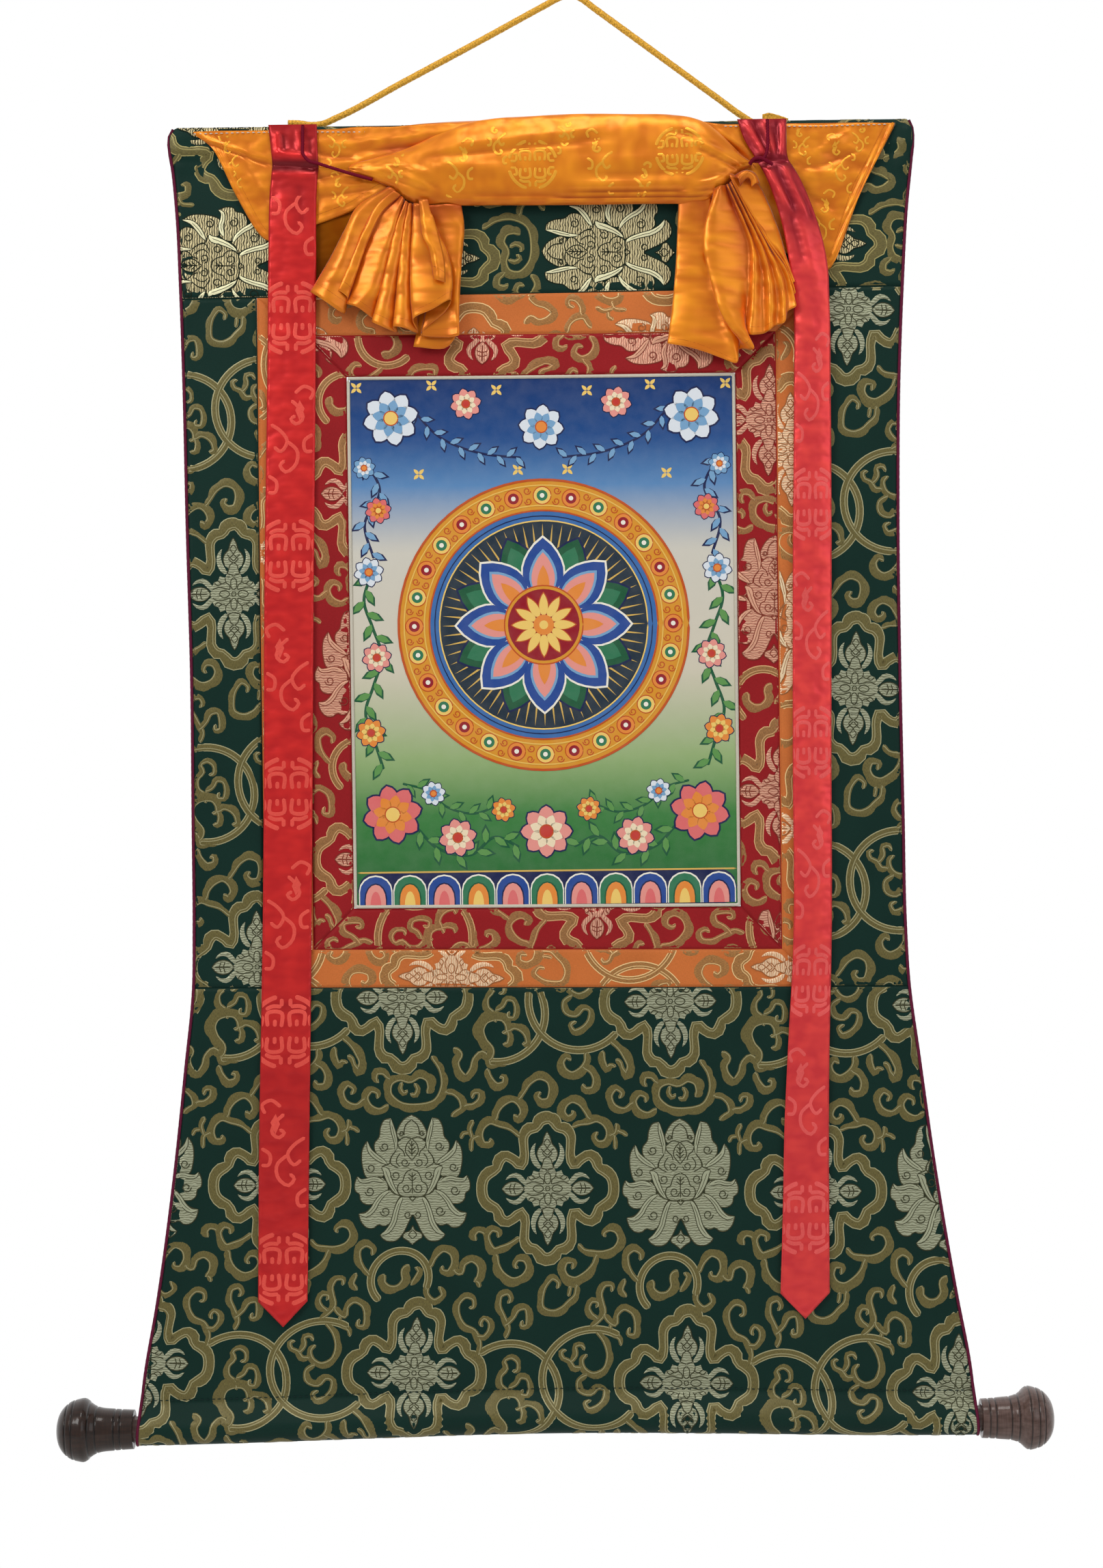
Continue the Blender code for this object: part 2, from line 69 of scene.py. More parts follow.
def columnAt(table, k, at):
    # column k of a table, smooth between the places in its first column
    return smooth(table[:, 0], table[:, k], at)


def alongPath(points):
    # the length from the first point to each point
    return np.concatenate([[0.0], np.cumsum(np.linalg.norm(np.diff(points, axis=0), axis=1))])


def pathLength(points):
    return float(np.linalg.norm(np.diff(points, axis=0), axis=1).sum())


def fullTurn(count):
    return np.linspace(0, 2 * np.pi, count, endpoint=False)


def route(table, count):
    # even steps along a smooth curve through the rows of a table
    rows = np.array(table, float)
    along = alongPath(rows)
    at = np.linspace(0, 1, count) * along[-1]
    return np.stack([smooth(along, column, at) for column in rows.T], axis=-1)


def addObject(name, data):
    made = bpy.data.objects.new(name, data)
    bpy.context.scene.collection.objects.link(made)
    return made


print("stage: camera and light")
cameraSettings = {"distance": 1.6, "height": 0.9184, "film": 36, "across": 2.8, "depth": -0.8,
                  "drop": 387.3,
                  "roll": 0.0131}
lightSettings = {  # place, size, power, colour
    "window": ((-1.3, -1.5, 0.75), 0.8, 15, (1.0, 0.98, 0.95)),
    "fill": ((1.6, -1.7, 0.1), 1.4, 7, (0.95, 0.97, 1.0)),
    "glance": ((0.1, -0.7, 0.95), 0.5, 5, (1.0, 0.97, 0.92)),
}
lightAim = (-0.017, 0.0, -0.40)


def makeCamera():
    s = cameraSettings
    data = bpy.data.cameras.new("camera")
    data.sensor_fit = "VERTICAL"
    data.sensor_height = s["film"]
    data.lens = s["film"] * s["distance"] / s["height"]
    camera = addObject("camera", data)
    x, y, z = place(s["across"], s["depth"], s["drop"])
    camera.location = (x, y - s["distance"], z)
    camera.rotation_euler = (math.pi / 2, s["roll"], 0.0)
    bpy.context.scene.camera = camera


def makeLight(name, at, size, power, colour):
    data = bpy.data.lights.new(name, "AREA")
    data.size, data.energy, data.color = size, power, colour
    lamp = addObject(name, data)
    lamp.location = at
    x, y, z = np.array(lightAim) - np.array(at)
    lamp.rotation_euler = (math.atan2(math.hypot(x, y), -z), 0.0, math.atan2(y, x) - math.pi / 2)


makeCamera()
bpy.context.scene.view_settings.view_transform = "Standard"
for lightName, lightValues in lightSettings.items():
    makeLight(lightName, *lightValues)


class Wire:
    # a node's output that adds, multiplies and compares like a number

    def __init__(self, paint, socket):
        self.paint, self.socket = paint, socket

    def __add__(self, other):
        return self.paint.sum("ADD", self, other)

    def __sub__(self, other):
        return self.paint.sum("SUBTRACT", self, other)

    def __rsub__(self, other):
        return self.paint.sum("SUBTRACT", other, self)

    def __mul__(self, other):
        return self.paint.sum("MULTIPLY", self, other)

    def __lt__(self, other):
        return self.paint.sum("LESS_THAN", self, other)

    def __gt__(self, other):
        return self.paint.sum("GREATER_THAN", self, other)

    __radd__, __rmul__ = __add__, __mul__


class Paint:
    # a material, its Principled shader and the nodes before it

    def __init__(self, name, **constants):
        self.material = bpy.data.materials.new(name)
        self.material.use_nodes = True
        self.tree = self.material.node_tree
        self.shader = self.tree.nodes["Principled BSDF"]
        for key, value in constants.items():
            label = key.replace("_", " ").title().replace("Ior", "IOR")
            self.shader.inputs[label].default_value = (*value, 1.0) if isinstance(value, tuple) else value

    def put(self, socket, value):
        if isinstance(value, Wire):
            self.tree.links.new(value.socket, socket)
        elif isinstance(value, tuple) and len(value) == 3 and len(socket.default_value) == 4:
            socket.default_value = (*value, 1.0)
        else:
            socket.default_value = value

    def node(self, kind, settings=None, inputs=None, out=0):
        made = self.tree.nodes.new("ShaderNode" + kind)
        for key, value in (settings or {}).items():
            setattr(made, key, value)
        for key, value in (inputs or {}).items():
            self.put(made.inputs[key], value)
        return Wire(self, made.outputs[out])

    def sum(self, kind, *values):
        return self.node("Math", {"operation": kind}, dict(enumerate(values)))

    def attribute(self, name, out="Fac"):
        return self.node("Attribute", {"attribute_name": name}, out=out)

    def mix(self, share, one, two, blend="MIX"):
        return self.node("Mix", {"data_type": "RGBA", "blend_type": blend}, {0: share, 6: one, 7: two}, 2)

    def stretch(self, vector, scale):
        return self.node("VectorMath", {"operation": "MULTIPLY"}, {0: vector, 1: scale})

    def noise(self, vector, scale, detail=2.0):
        return self.node("TexNoise", None, {"Vector": vector, "Scale": scale, "Detail": detail})

    def ramp(self, value, low, high):
        return self.node("MapRange", None, {0: value, 1: low, 2: high})

    def finish(self, colour, bump, strength, distance=0.0003, rough=None):
        self.put(self.shader.inputs["Base Color"], colour)
        if rough is not None:
            self.put(self.shader.inputs["Roughness"], rough)
        normal = self.node("Bump", None, {"Strength": strength, "Distance": distance, "Height": bump})
        self.put(self.shader.inputs["Normal"], normal)
        return self.material


def shade(colour, by):
    return tuple(min(1.0, c * by) for c in colour)


def clothPaint(name, colour, roughness=0.55, metallic=0.0, contrast=0.12, weave=1.6, strength=0.25,
               gloss=0.12):
    # fine threads both ways, and a soft unevenness of the dye
    paint = Paint(name, roughness=roughness, metallic=metallic, specular_ior_level=gloss)
    cloth = paint.attribute("cloth", "Vector")
    warp = paint.noise(paint.stretch(cloth, (weave * 2.2, weave * 0.35, 1.0)), 1.0)
    weft = paint.noise(paint.stretch(cloth, (weave * 0.35, weave * 2.2, 1.0)), 1.0)
    cloudy = paint.noise(cloth, 0.03, 1.0)
    tone = paint.ramp(warp * 0.45 + weft * 0.45 + cloudy * 0.5, 0.45, 0.95)
    colour = paint.mix(tone, shade(colour, 1 - contrast), shade(colour, 1 + contrast))
    return paint.finish(colour, warp + weft, strength)


def scrollPaint(name, body, rim, roughness=0.42, metallic=0.25):
    # a woven band: a pale thread along both rims and another near its inner rim
    paint = Paint(name, roughness=roughness, metallic=metallic)
    fromRim, fromInner = paint.attribute("rim"), paint.attribute("inner")
    cloth = paint.attribute("cloth", "Vector")
    threads = paint.noise(paint.stretch(cloth, (3.2, 0.7, 1.0)), 1.0)
    pale = (fromInner - 1.75) * (fromInner - 1.75)
    marked = paint.sum("MAXIMUM", fromRim < 0.55, (pale < 0.07) * 0.8)
    body = paint.mix(paint.ramp(threads, 0.35, 0.65), shade(body, 0.68), shade(body, 1.22))
    return paint.finish(paint.mix(marked, body, rim), threads, 0.35)


def motifPaint(name, light, dark, metallic=0.35):
    # wavering rows of loose threads
    paint = Paint(name, roughness=0.4, metallic=metallic)
    cloth = paint.attribute("cloth", "Vector")
    rows = paint.node("TexWave", {"bands_direction": "Y", "wave_profile": "SIN"},
                      {"Vector": cloth, "Scale": 0.22, "Distortion": 5.0, "Detail": 1.0,
                       "Detail Scale": 1.4})
    return paint.finish(paint.mix(paint.ramp(rows, 0.1, 0.75), dark, light), rows, 0.5, 0.0004)


def newMesh(name, points, faceSets, layers=None, colours=None):
    mesh = bpy.data.meshes.new(name)
    mesh.vertices.add(len(points))
    mesh.vertices.foreach_set("co", np.asarray(points, np.float32).ravel())
    loops = np.concatenate([faces.ravel() for faces in faceSets]).astype(np.int32)
    sizes = np.concatenate([np.full(len(faces), faces.shape[1]) for faces in faceSets])
    mesh.loops.add(len(loops))
    mesh.loops.foreach_set("vertex_index", loops)
    mesh.polygons.add(len(sizes))
    mesh.polygons.foreach_set("loop_start", np.concatenate([[0], np.cumsum(sizes)[:-1]]).astype(np.int32))
    for key, values in (layers or {}).items():
        values = np.asarray(values, np.float32)
        kind, field = ("FLOAT", "value") if values.ndim == 1 else ("FLOAT_VECTOR", "vector")
        mesh.attributes.new(key, kind, "POINT").data.foreach_set(field, values.ravel())
    if colours is not None:
        layer = mesh.color_attributes.new("paint", "FLOAT_COLOR", "POINT")
        layer.data.foreach_set("color", np.asarray(colours, np.float32).ravel())
    mesh.update(calc_edges=True)
    mesh.validate()
    mesh.polygons.foreach_set("use_smooth", np.ones(len(mesh.polygons), bool))
    return mesh


def addPiece(name, mesh, paints, slotName=None, replaces=(), slots=None, thick=0.0):
    for paint in paints:
        mesh.materials.append(paint)
    if slots is not None:
        mesh.polygons.foreach_set("material_index", np.asarray(slots, np.int32))
    piece = addObject(name, mesh)
    if thick:
        solid = piece.modifiers.new("thickness", "SOLIDIFY")
        solid.thickness, solid.offset = thick * mm, 0.0
    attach(piece, "root")
    if replaces:
        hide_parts(*replaces)
    return piece


def gridFaces(rows, columns, wrap=False):
    index = np.arange(rows * columns).reshape(rows, columns)
    if wrap:
        index = np.concatenate([index, index[:, :1]], axis=1)
    return np.stack((index[:-1, :-1], index[1:, :-1], index[1:, 1:], index[:-1, 1:]), -1).reshape(-1, 4)


def gridMesh(name, points, cloth, colours=None):
    rows, columns = points.shape[:2]
    flat = np.concatenate([cloth.reshape(-1, 2), np.zeros((rows * columns, 1))], axis=1)
    return newMesh(name, points.reshape(-1, 3), [gridFaces(rows, columns)], {"cloth": flat}, colours)


def tubePoints(path, radii, sides=12):
    # rings around a path: each is centre + cos(angle) * radius * side + sin(angle) * radius * other side
    path = np.asarray(path, float)
    tangent = np.gradient(path, axis=0)
    tangent /= np.linalg.norm(tangent, axis=1)[:, None]
    side = np.cross(np.broadcast_to((0.0, 1.0, 0.0), tangent.shape), tangent)
    side /= np.linalg.norm(side, axis=1)[:, None]
    other = np.cross(tangent, side)
    angle = fullTurn(sides)
    radius = np.broadcast_to(np.asarray(radii, float), (len(path), sides))
    wide, deep = (radius * np.cos(angle))[..., None], (radius * np.sin(angle))[..., None]
    return path[:, None] + wide * side[:, None] + deep * other[:, None]


def tubeMesh(name, rings, closed=False):
    # a tube of rings; an open one is closed by a fan at each end
    rows, sides = rings.shape[:2]
    points = rings.reshape(-1, 3)
    faces = [gridFaces(rows, sides, True)[:, ::-1]]
    first = np.arange(sides)
    last = first + (rows - 1) * sides
    if closed:
        faces.append(np.stack((last, np.roll(last, -1), np.roll(first, -1), first), -1))
    else:
        points = np.concatenate([points, rings[0].mean(0)[None], rings[-1].mean(0)[None]])
        for k, (ring, turn) in enumerate(((first, 1), (last, -1))):
            fan = np.stack((ring, np.roll(ring, -1), np.full(sides, rows * sides + k)), -1)
            faces.append(fan[:, ::turn])
    cloth = np.zeros((len(points), 3))
    cloth[:rows * sides, 0] = np.tile(first, rows)
    cloth[:rows * sides, 1] = np.repeat(np.arange(rows), sides)
    return newMesh(name, points, faces, {"cloth": cloth})


print("stage: hanging cord")
cordSettings = {
    "width": 3.6, "colour": (0.84, 0.44, 0.05), "pitch": 3.1, "steps": 400, "sides": 16,
    "route": ((-147.0, -3.2), (-140.5, -3.0), (-134.0, -2.0), (-127.5, -2.4), (-118.0, -6.2),
              (-80.0, -25.9),
              (-30.0, -52.0), (5.0, -70.6), (13.5, -75.0), (20.1, -77.0), (26.0, -74.4), (34.0, -68.4),
              (70.0, -41.4), (105.0, -15.2), (121.0, -3.4), (127.5, 0.4), (133.5, 1.4), (140.0, 0.0),
              (146.5, -0.4)),
    "tail": ((132.0, -2.0, 2.6), (135.0, -2.6, 2.9), (140.0, -2.0, 2.5), (147.0, -0.8, 1.2)),
}


def makeCord():
    s = cordSettings
    across, drop = route(s["route"], s["steps"]).T
    path = place(across, nailDepth, drop)
    length = pathLength(path)
    along = np.linspace(0, length / mm, s["steps"])[:, None]
    # radius - 0.34 * (|sin| of the strands winding one way * |sin| of those winding the other way) ** 0.7
    one, two = (np.sin(2 * fullTurn(s["sides"]) + turn * 2 * np.pi * along / s["pitch"] / 2) for turn in (1, -1))
    radii = (s["width"] / 2 + 0.24 - 0.34 * np.abs(one * two) ** 0.7) * mm
    mesh = tubeMesh("hanging_cord", tubePoints(path, radii, s["sides"]))
    paint = Paint("cordGold", roughness=0.5, metallic=0.12, specular_ior_level=0.2)
    cloth = paint.attribute("cloth", "Vector")
    grain = paint.noise(paint.stretch(cloth, (0.9, 0.8, 1.0)), 1.0)
    colour = paint.mix(paint.ramp(grain, 0.35, 0.65), shade(s["colour"], 0.55), shade(s["colour"], 1.2))
    gold = paint.finish(colour, grain, 0.4)
    cord = addPiece("hanging_cord_braid", mesh, [gold], "cord_gold", ["hanging_cord"])
    # the cord's end, pressed flat, lies along the back of the hem and shows above it
    rows = route(s["tail"], 20)
    middle, half = rows[:, :1], rows[:, 2:]
    t = np.linspace(-1, 1, 9)
    depth = 4.9 + 0.6 * np.cos(1.4 * t)[None] + 0.2 * np.sin(middle * 2.1 + 3 * t)
    points = place(middle + 0 * t, depth, rows[:, 1:2] + half * t)
    cloth = np.stack(np.broadcast_arrays(middle, half * t), -1)
    mesh = gridMesh("cord_tail", points.swapaxes(0, 1), cloth.swapaxes(0, 1))
    tail = addPiece("cord_tail", mesh, [gold], "cord_gold", thick=0.8)
    print("cord length", round(length, 4))


makeCord()

print("stage: brocade repeat")
# The repeat is charted: one unit is 0.1377 mm, x to the right and y down. Two steps bring the
# next repeat, and the second cross lies halfway along both.
unit = 0.1377
stepRight, stepDown = np.array((1140.0, 30.0)), np.array((78.0, 1610.0))
crossAt = ((153.0, 110.0), (762.0, 930.0))
lotusAt = (186.0, 884.0)
crossScale, lotusScale = 0.5927, 0.5186
# the plain rings: centre, radius, from and to in degrees, level
rings = ((555, 185, 205, -130, 100, 0.09), (903, 130, 213, 40, 300, 0.15), (142, 1312, 122, 128, 382, 0.1))
scrollWidth = 1.22
scrolls = (
    ((868, 672, 10), (900, 655, 14), (935, 648, 18), (975, 636, 20), (1010, 655, 20), (1028, 700, 20),
     (1008, 738, 19), (975, 738, 17), (963, 712, 13), (980, 692, 8)),
    ((945, 640, 12), (928, 600, 16), (905, 565, 20), (870, 552, 20), (838, 572, 20), (828, 610, 20),
     (852, 632, 18), (875, 612, 12), (868, 598, 7)),
    ((1025, 705, 9), (1050, 700, 12), (1062, 675, 15), (1055, 655, 12)),
    ((1045, 705, 10), (1052, 735, 12), (1050, 768, 12)),
    ((1060, 690, 10), (1085, 695, 12), (1103, 712, 12)),
    ((648, 712, 10), (605, 672, 14), (560, 655, 17), (520, 640, 20), (485, 665, 20), (475, 705, 20),
     (492, 740, 19), (520, 735, 16), (522, 712, 9)),
    ((545, 640, 12), (548, 600, 18), (580, 560, 20), (620, 548, 18), (655, 575, 20), (662, 610, 20),
     (640, 632, 18), (622, 612, 9)),
    ((645, 552, 10), (665, 515, 14), (690, 475, 18), (730, 452, 20), (775, 470, 20), (788, 515, 22),
     (770, 560, 22), (735, 560, 20), (722, 535, 14), (740, 520, 8)),
    ((475, 705, 9), (447, 712, 12), (438, 770, 12)),
    ((445, 712, 10), (432, 670, 13), (450, 635, 15)),
    ((435, 690, 10), (405, 692, 12), (395, 715, 12)),
    ((893, 1165, 10), (915, 1195, 14), (955, 1205, 16), (1005, 1210, 20), (1055, 1190, 22),
     (1072, 1150, 20),
     (1055, 1110, 20), (1022, 1102, 18), (1000, 1125, 10), (1008, 1140, 6)),
    ((970, 1210, 10), (962, 1255, 16), (930, 1300, 22), (885, 1325, 24), (845, 1310, 22), (828, 1270, 20),
     (845, 1238, 18), (875, 1245, 14), (868, 1275, 8)),
    ((868, 1345, 12), (862, 1390, 10)),
    ((640, 1135, 10), (605, 1165, 14), (565, 1185, 18), (535, 1195, 20), (510, 1160, 16), (503, 1125, 16),
     (525, 1100, 16), (552, 1112, 14), (548, 1138, 9)),
    ((505, 1150, 12), (490, 1110, 16), (462, 1102, 18), (443, 1125, 18), (458, 1150, 12)),
    ((545, 1205, 14), (548, 1250, 18), (575, 1300, 22), (625, 1325, 22), (672, 1305, 22), (688, 1262, 20),
     (668, 1230, 18), (635, 1230, 16), (628, 1258, 10), (642, 1270, 6)),
    ((520, 385, 16), (528, 340, 20), (495, 300, 24), (480, 250, 26), (500, 210, 26), (545, 195, 24),
     (585, 205, 20), (600, 235, 16), (592, 262, 10), (575, 262, 7)),
    ((595, 250, 10), (612, 280, 16), (602, 315, 17), (578, 312, 10)),
    ((600, 262, 12), (625, 240, 16), (658, 248, 18), (682, 280, 16), (682, 312, 14), (660, 312, 8)),
    ((370, 325, 14), (395, 355, 18), (380, 388, 18), (387, 425, 20), (420, 455, 20), (448, 420, 18),
     (460, 378, 17), (492, 352, 18), (513, 375, 17), (520, 400, 14), (560, 400, 12), (600, 395, 9)),
    ((512, 415, 12), (520, 455, 17), (553, 492, 20), (585, 478, 17), (580, 452, 12), (562, 458, 7)),
    ((930, 350, 12), (935, 390, 17), (910, 430, 20), (870, 450, 22), (834, 425, 20), (828, 388, 18),
     (848, 370, 15), (868, 388, 8)),
    ((915, 415, 12), (955, 430, 18), (972, 470, 18), (960, 512, 20), (925, 508, 15), (918, 485, 8)),
    ((1030, 300, 12), (1075, 335, 16), (1105, 375, 20), (1120, 415, 20), (1103, 452, 19), (1086, 425, 12),
     (1076, 396, 12), (1058, 382, 12)),
    ((1005, 345, 12), (1002, 390, 18), (1018, 425, 18), (1038, 408, 12), (1060, 415, 9)),
    ((275, 360, 12), (315, 420, 15), (325, 490, 18), (295, 553, 19), (215, 577, 20), (130, 563, 20),
     (88, 515, 20), (97, 470, 20), (140, 452, 18), (180, 462, 18), (225, 440, 20), (262, 455, 22),
     (270, 495, 20), (252, 518, 12)),
    ((150, 470, 10), (140, 500, 13), (156, 520, 13), (172, 503, 8)),
    ((200, 475, 10), (216, 500, 13), (202, 528, 14), (182, 518, 8)),
    ((95, 460, 12), (70, 425, 18), (38, 425, 19), (33, 455, 15), (50, 472, 8)),
    ((90, 565, 12), (50, 592, 18), (5, 572, 20), (-8, 530, 18), (18, 500, 17), (44, 515, 13), (40, 540, 8)),
    ((-8, 535, 12), (-48, 570, 16), (-96, 552, 18), (-110, 505, 18), (-82, 475, 16), (-57, 498, 12),
     (-72, 520, 8)),
    ((330, 515, 12), (370, 520, 15), (400, 550, 17), (403, 588, 17), (377, 602, 14), (354, 618, 11)),
    ((410, 572, 12), (450, 575, 17), (482, 545, 17), (480, 515, 16), (454, 518, 12), (446, 545, 8)),
    ((75, 1290, 16), (70, 1330, 20), (100, 1355, 20), (140, 1350, 18), (165, 1320, 20), (162, 1272, 20),
     (178, 1250, 14)),
    ((190, 1340, 13), (215, 1310, 18), (225, 1275, 16), (202, 1262, 9)),
    ((268, 1265, 12), (285, 1215, 16), (320, 1182, 20), (358, 1200, 20), (370, 1250, 20), (345, 1288, 19),
     (320, 1275, 12), (322, 1255, 7)),
    ((365, 1275, 12), (398, 1288, 15), (410, 1247, 16), (445, 1227, 20), (480, 1255, 20), (480, 1308, 20),
     (456, 1325, 11)),
    ((470, 1320, 12), (486, 1350, 13)),
    ((15, 1210, 8), (20, 1180, 14), (-10, 1158, 18), (-42, 1180, 18), (-40, 1225, 17), (-20, 1262, 14),
     (18, 1298, 10)),
    ((-42, 1285, 14), (-60, 1335, 18), (-32, 1362, 14)),
    ((268, 1328, 13), (261, 1377, 15), (296, 1410, 16), (332, 1384, 15), (310, 1345, 9)),
)
# the sprays round and inside the rings were charted lower down and smaller: (790, 440) there is (795, 930)
lowerScale, lowerFrom, lowerTo = 1.186, (790, 440), (795, 930)
lowerScrolls = (
    ((632, 980, 9), (640, 945, 12), (620, 900, 12), (600, 858, 13), (605, 822, 13), (632, 815, 12),
     (642, 836, 10), (630, 852, 5)),
    ((628, 935, 9), (652, 905, 12), (672, 870, 14), (698, 866, 14), (710, 900, 14), (704, 935, 13),
     (688, 934, 9), (690, 912, 5)),
    ((872, 785, 9), (872, 825, 13), (850, 850, 14), (830, 872, 15), (790, 886, 15), (755, 870, 14),
     (750, 825, 13), (762, 785, 12), (786, 760, 12), (808, 778, 9), (802, 800, 6)),
    ((540, 1045, 9), (542, 1000, 12), (520, 955, 14), (482, 935, 14), (456, 892, 14), (455, 850, 14),
     (480, 826, 13), (510, 838, 11), (508, 866, 8), (494, 868, 5)),
    ((530, 968, 8), (555, 975, 12), (575, 952, 13), (573, 918, 12), (552, 905, 10), (542, 925, 8),
     (550, 938, 5)),
    ((930, 940, 8), (955, 915, 12), (975, 885, 13), (966, 850, 13), (958, 815, 13), (975, 784, 13),
     (998, 788, 10), (998, 812, 6)),
    ((958, 905, 8), (930, 892, 13), (917, 865, 13), (932, 842, 12), (952, 850, 8), (946, 868, 5)),
    ((975, 892, 9), (1000, 915, 13), (1018, 925, 13), (1022, 890, 12), (1045, 868, 13), (1080, 882, 14),
     (1096, 925, 14), (1088, 965, 12), (1068, 962, 9), (1072, 935, 5)),
    ((1000, 925, 8), (1008, 958, 12), (1038, 975, 12), (1042, 1003, 7)),
    ((950, 945, 10), (988, 990, 13), (1002, 1040, 14), (985, 1090, 14), (945, 1106, 14), (915, 1086, 12),
     (906, 1052, 11), (926, 1034, 6)),
    ((906, 1078, 9), (880, 1082, 12), (860, 1058, 12), (838, 1046, 10), (834, 1024, 9), (852, 1020, 5)),
    ((868, 1064, 8), (884, 1032, 12), (880, 1004, 11), (902, 1000, 9), (914, 1020, 5)),
    ((925, 1102, 8), (896, 1130, 12), (900, 1162, 13), (936, 1174, 14), (966, 1150, 12), (986, 1156, 11),
     (988, 1192, 13), (962, 1226, 14), (928, 1234, 12), (918, 1212, 9), (940, 1200, 5)),
    ((650, 1200, 8), (642, 1168, 12), (620, 1150, 14), (618, 1112, 13), (640, 1084, 12), (632, 1060, 10),
     (656, 1046, 11), (680, 1062, 11), (678, 1092, 9), (660, 1096, 5)),
    ((648, 1160, 8), (674, 1140, 12), (690, 1116, 12), (714, 1120, 12), (724, 1152, 12), (712, 1186, 11),
     (694, 1180, 8), (700, 1160, 5)),
)
frameQuarter = (
    (0, -510, 48), (50, -492, 48), (82, -440, 38), (130, -432, 44), (166, -385, 38), (168, -300, 33),
    (165, -235, 34), (190, -172, 42), (245, -212, 36), (305, -238, 40), (348, -208, 44), (368, -145, 36),
    (412, -125, 44), (455, -85, 42), (474, 0, 40),
)
crossFills = (
    ((0, -410), (22, -370), (36, -320), (62, -290), (75, -250), (62, -205), (30, -180), (0, -172)),
    ((0, -228), (24, -212), (34, -180), (46, -150), (60, -118), (0, -95)),
    ((330, 0), (295, -38), (250, -52), (205, -42), (165, 0)),
    ((0, -150), (45, -142), (62, -118), (100, -130), (114, -95), (142, -86), (158, -55), (150, -33),
     (185, 0),
     (0, 0)),
)
crossClaws = (
    ((82, -328, 3), (102, -290, 12), (105, -240, 18), (84, -185, 20), (50, -145, 12)),
    ((302, -64, 3), (264, -92, 12), (218, -95, 18), (180, -60, 18), (150, -25, 12)),
)
crossLines = (
    ((0, -228), (24, -212), (34, -180), (44, -150)),
    ((62, -205), (75, -250), (62, -290), (36, -320), (22, -370), (0, -410)),
    ((330, 0), (295, -38), (250, -52), (205, -42), (165, 0)),
    ((310, -2), (190, -1)),
    ((275, -2), (262, -36)),
    ((245, -2), (232, -40)),
    ((0, -118), (16, -105), (22, -75), (16, -42), (0, -30)),
    ((28, 0), (45, -20), (70, -26), (92, -18), (108, 0)),
    ((0, -16), (12, -11), (16, 0)),
    ((62, -118), (56, -85), (30, -60), (28, -30)),
    ((158, -30), (112, -48), (60, -40), (28, -30)),
    ((114, -95), (85, -75), (56, -85)),
    ((142, -86), (120, -62), (85, -75)),
    ((0, -360), (24, -325), (0, -290), (34, -255), (0, -222)),
    ((48, -290), (0, -238)),
    ((46, -150), (0, -132)),
)
# the lotus: its right half, from its own centre; broad petals, then the narrow leaves on them by their
# spines (x, y, half width), then the body, the pod and the small leaf over it
lotusPetals = (
    ((0, -530), (60, -495), (106, -430), (123, -384), (111, -338), (83, -320), (60, -335), (0, -330)),
    ((170, -505), (222, -490), (254, -430), (268, -347), (305, -300), (303, -235), (280, -200), (240, -150),
     (205, -110), (170, -110), (150, -185), (125, -235), (116, -320), (150, -400)),
    ((367, -319), (404, -254), (413, -180), (404, -97), (378, -22), (330, 2), (280, -5), (225, -40),
     (200, -110), (270, -190), (330, -250)),
    ((451, -28), (474, 42), (465, 97), (437, 116), (428, 166), (395, 199), (345, 205), (300, 192),
     (262, 155),
     (200, 90), (205, 30), (250, -20), (330, -10), (400, 5)),
    ((445, 282), (418, 356), (372, 397), (316, 397), (284, 370), (233, 384), (190, 362), (160, 280),
     (130, 185), (100, 134), (180, 82), (240, 110), (310, 190), (380, 262)),
    ((0, 150), (60, 143), (95, 143), (130, 190), (155, 263), (185, 360), (215, 425), (266, 457), (229, 499),
     (183, 513), (132, 504), (81, 448), (35, 356), (12, 310), (0, 290)),
)
lotusBody = (
    (0, -337), (60, -345), (118, -300), (134, -232), (170, -185), (185, -128), (205, -120), (250, -100),
    (225, -50), (201, 23), (165, 106), (118, 130), (60, 143), (0, 150),
)
lotusPod = (
    (0, -83), (45, -60), (70, -14), (80, 20), (110, 37), (122, 70), (115, 110), (95, 134), (60, 143),
    (0, 143),
)
lotusTip = (
    (0, -337), (44, -282), (52, -226), (20, -180), (0, -155),
)
lotusDrops = (
    ((0, 379), (20, 420), (74, 448), (80, 476), (42, 504), (0, 540)),
    ((0, 138), (28, 146), (14, 165), (0, 182)),
)
lotusLeaves = (
    ((170, -500, 2), (163, -450, 12), (146, -380, 17), (130, -300, 12), (132, -235, 3)),
    ((366, -316, 2), (345, -240, 16), (290, -185, 20), (235, -148, 14), (205, -127, 4)),
    ((450, -26, 2), (425, 6, 12), (375, 8, 17), (320, -6, 18), (270, 4, 16), (235, 18, 5)),
    ((444, 283, 2), (385, 290, 16), (330, 248, 20), (290, 180, 18), (235, 118, 14), (188, 92, 6)),
    ((265, 458, 2), (215, 433, 16), (165, 365, 20), (135, 260, 18), (105, 180, 14), (82, 146, 9)),
    ((248, -100, 3), (220, -80, 22), (198, -20, 24), (170, 50, 19), (135, 105, 11), (118, 125, 4)),
)
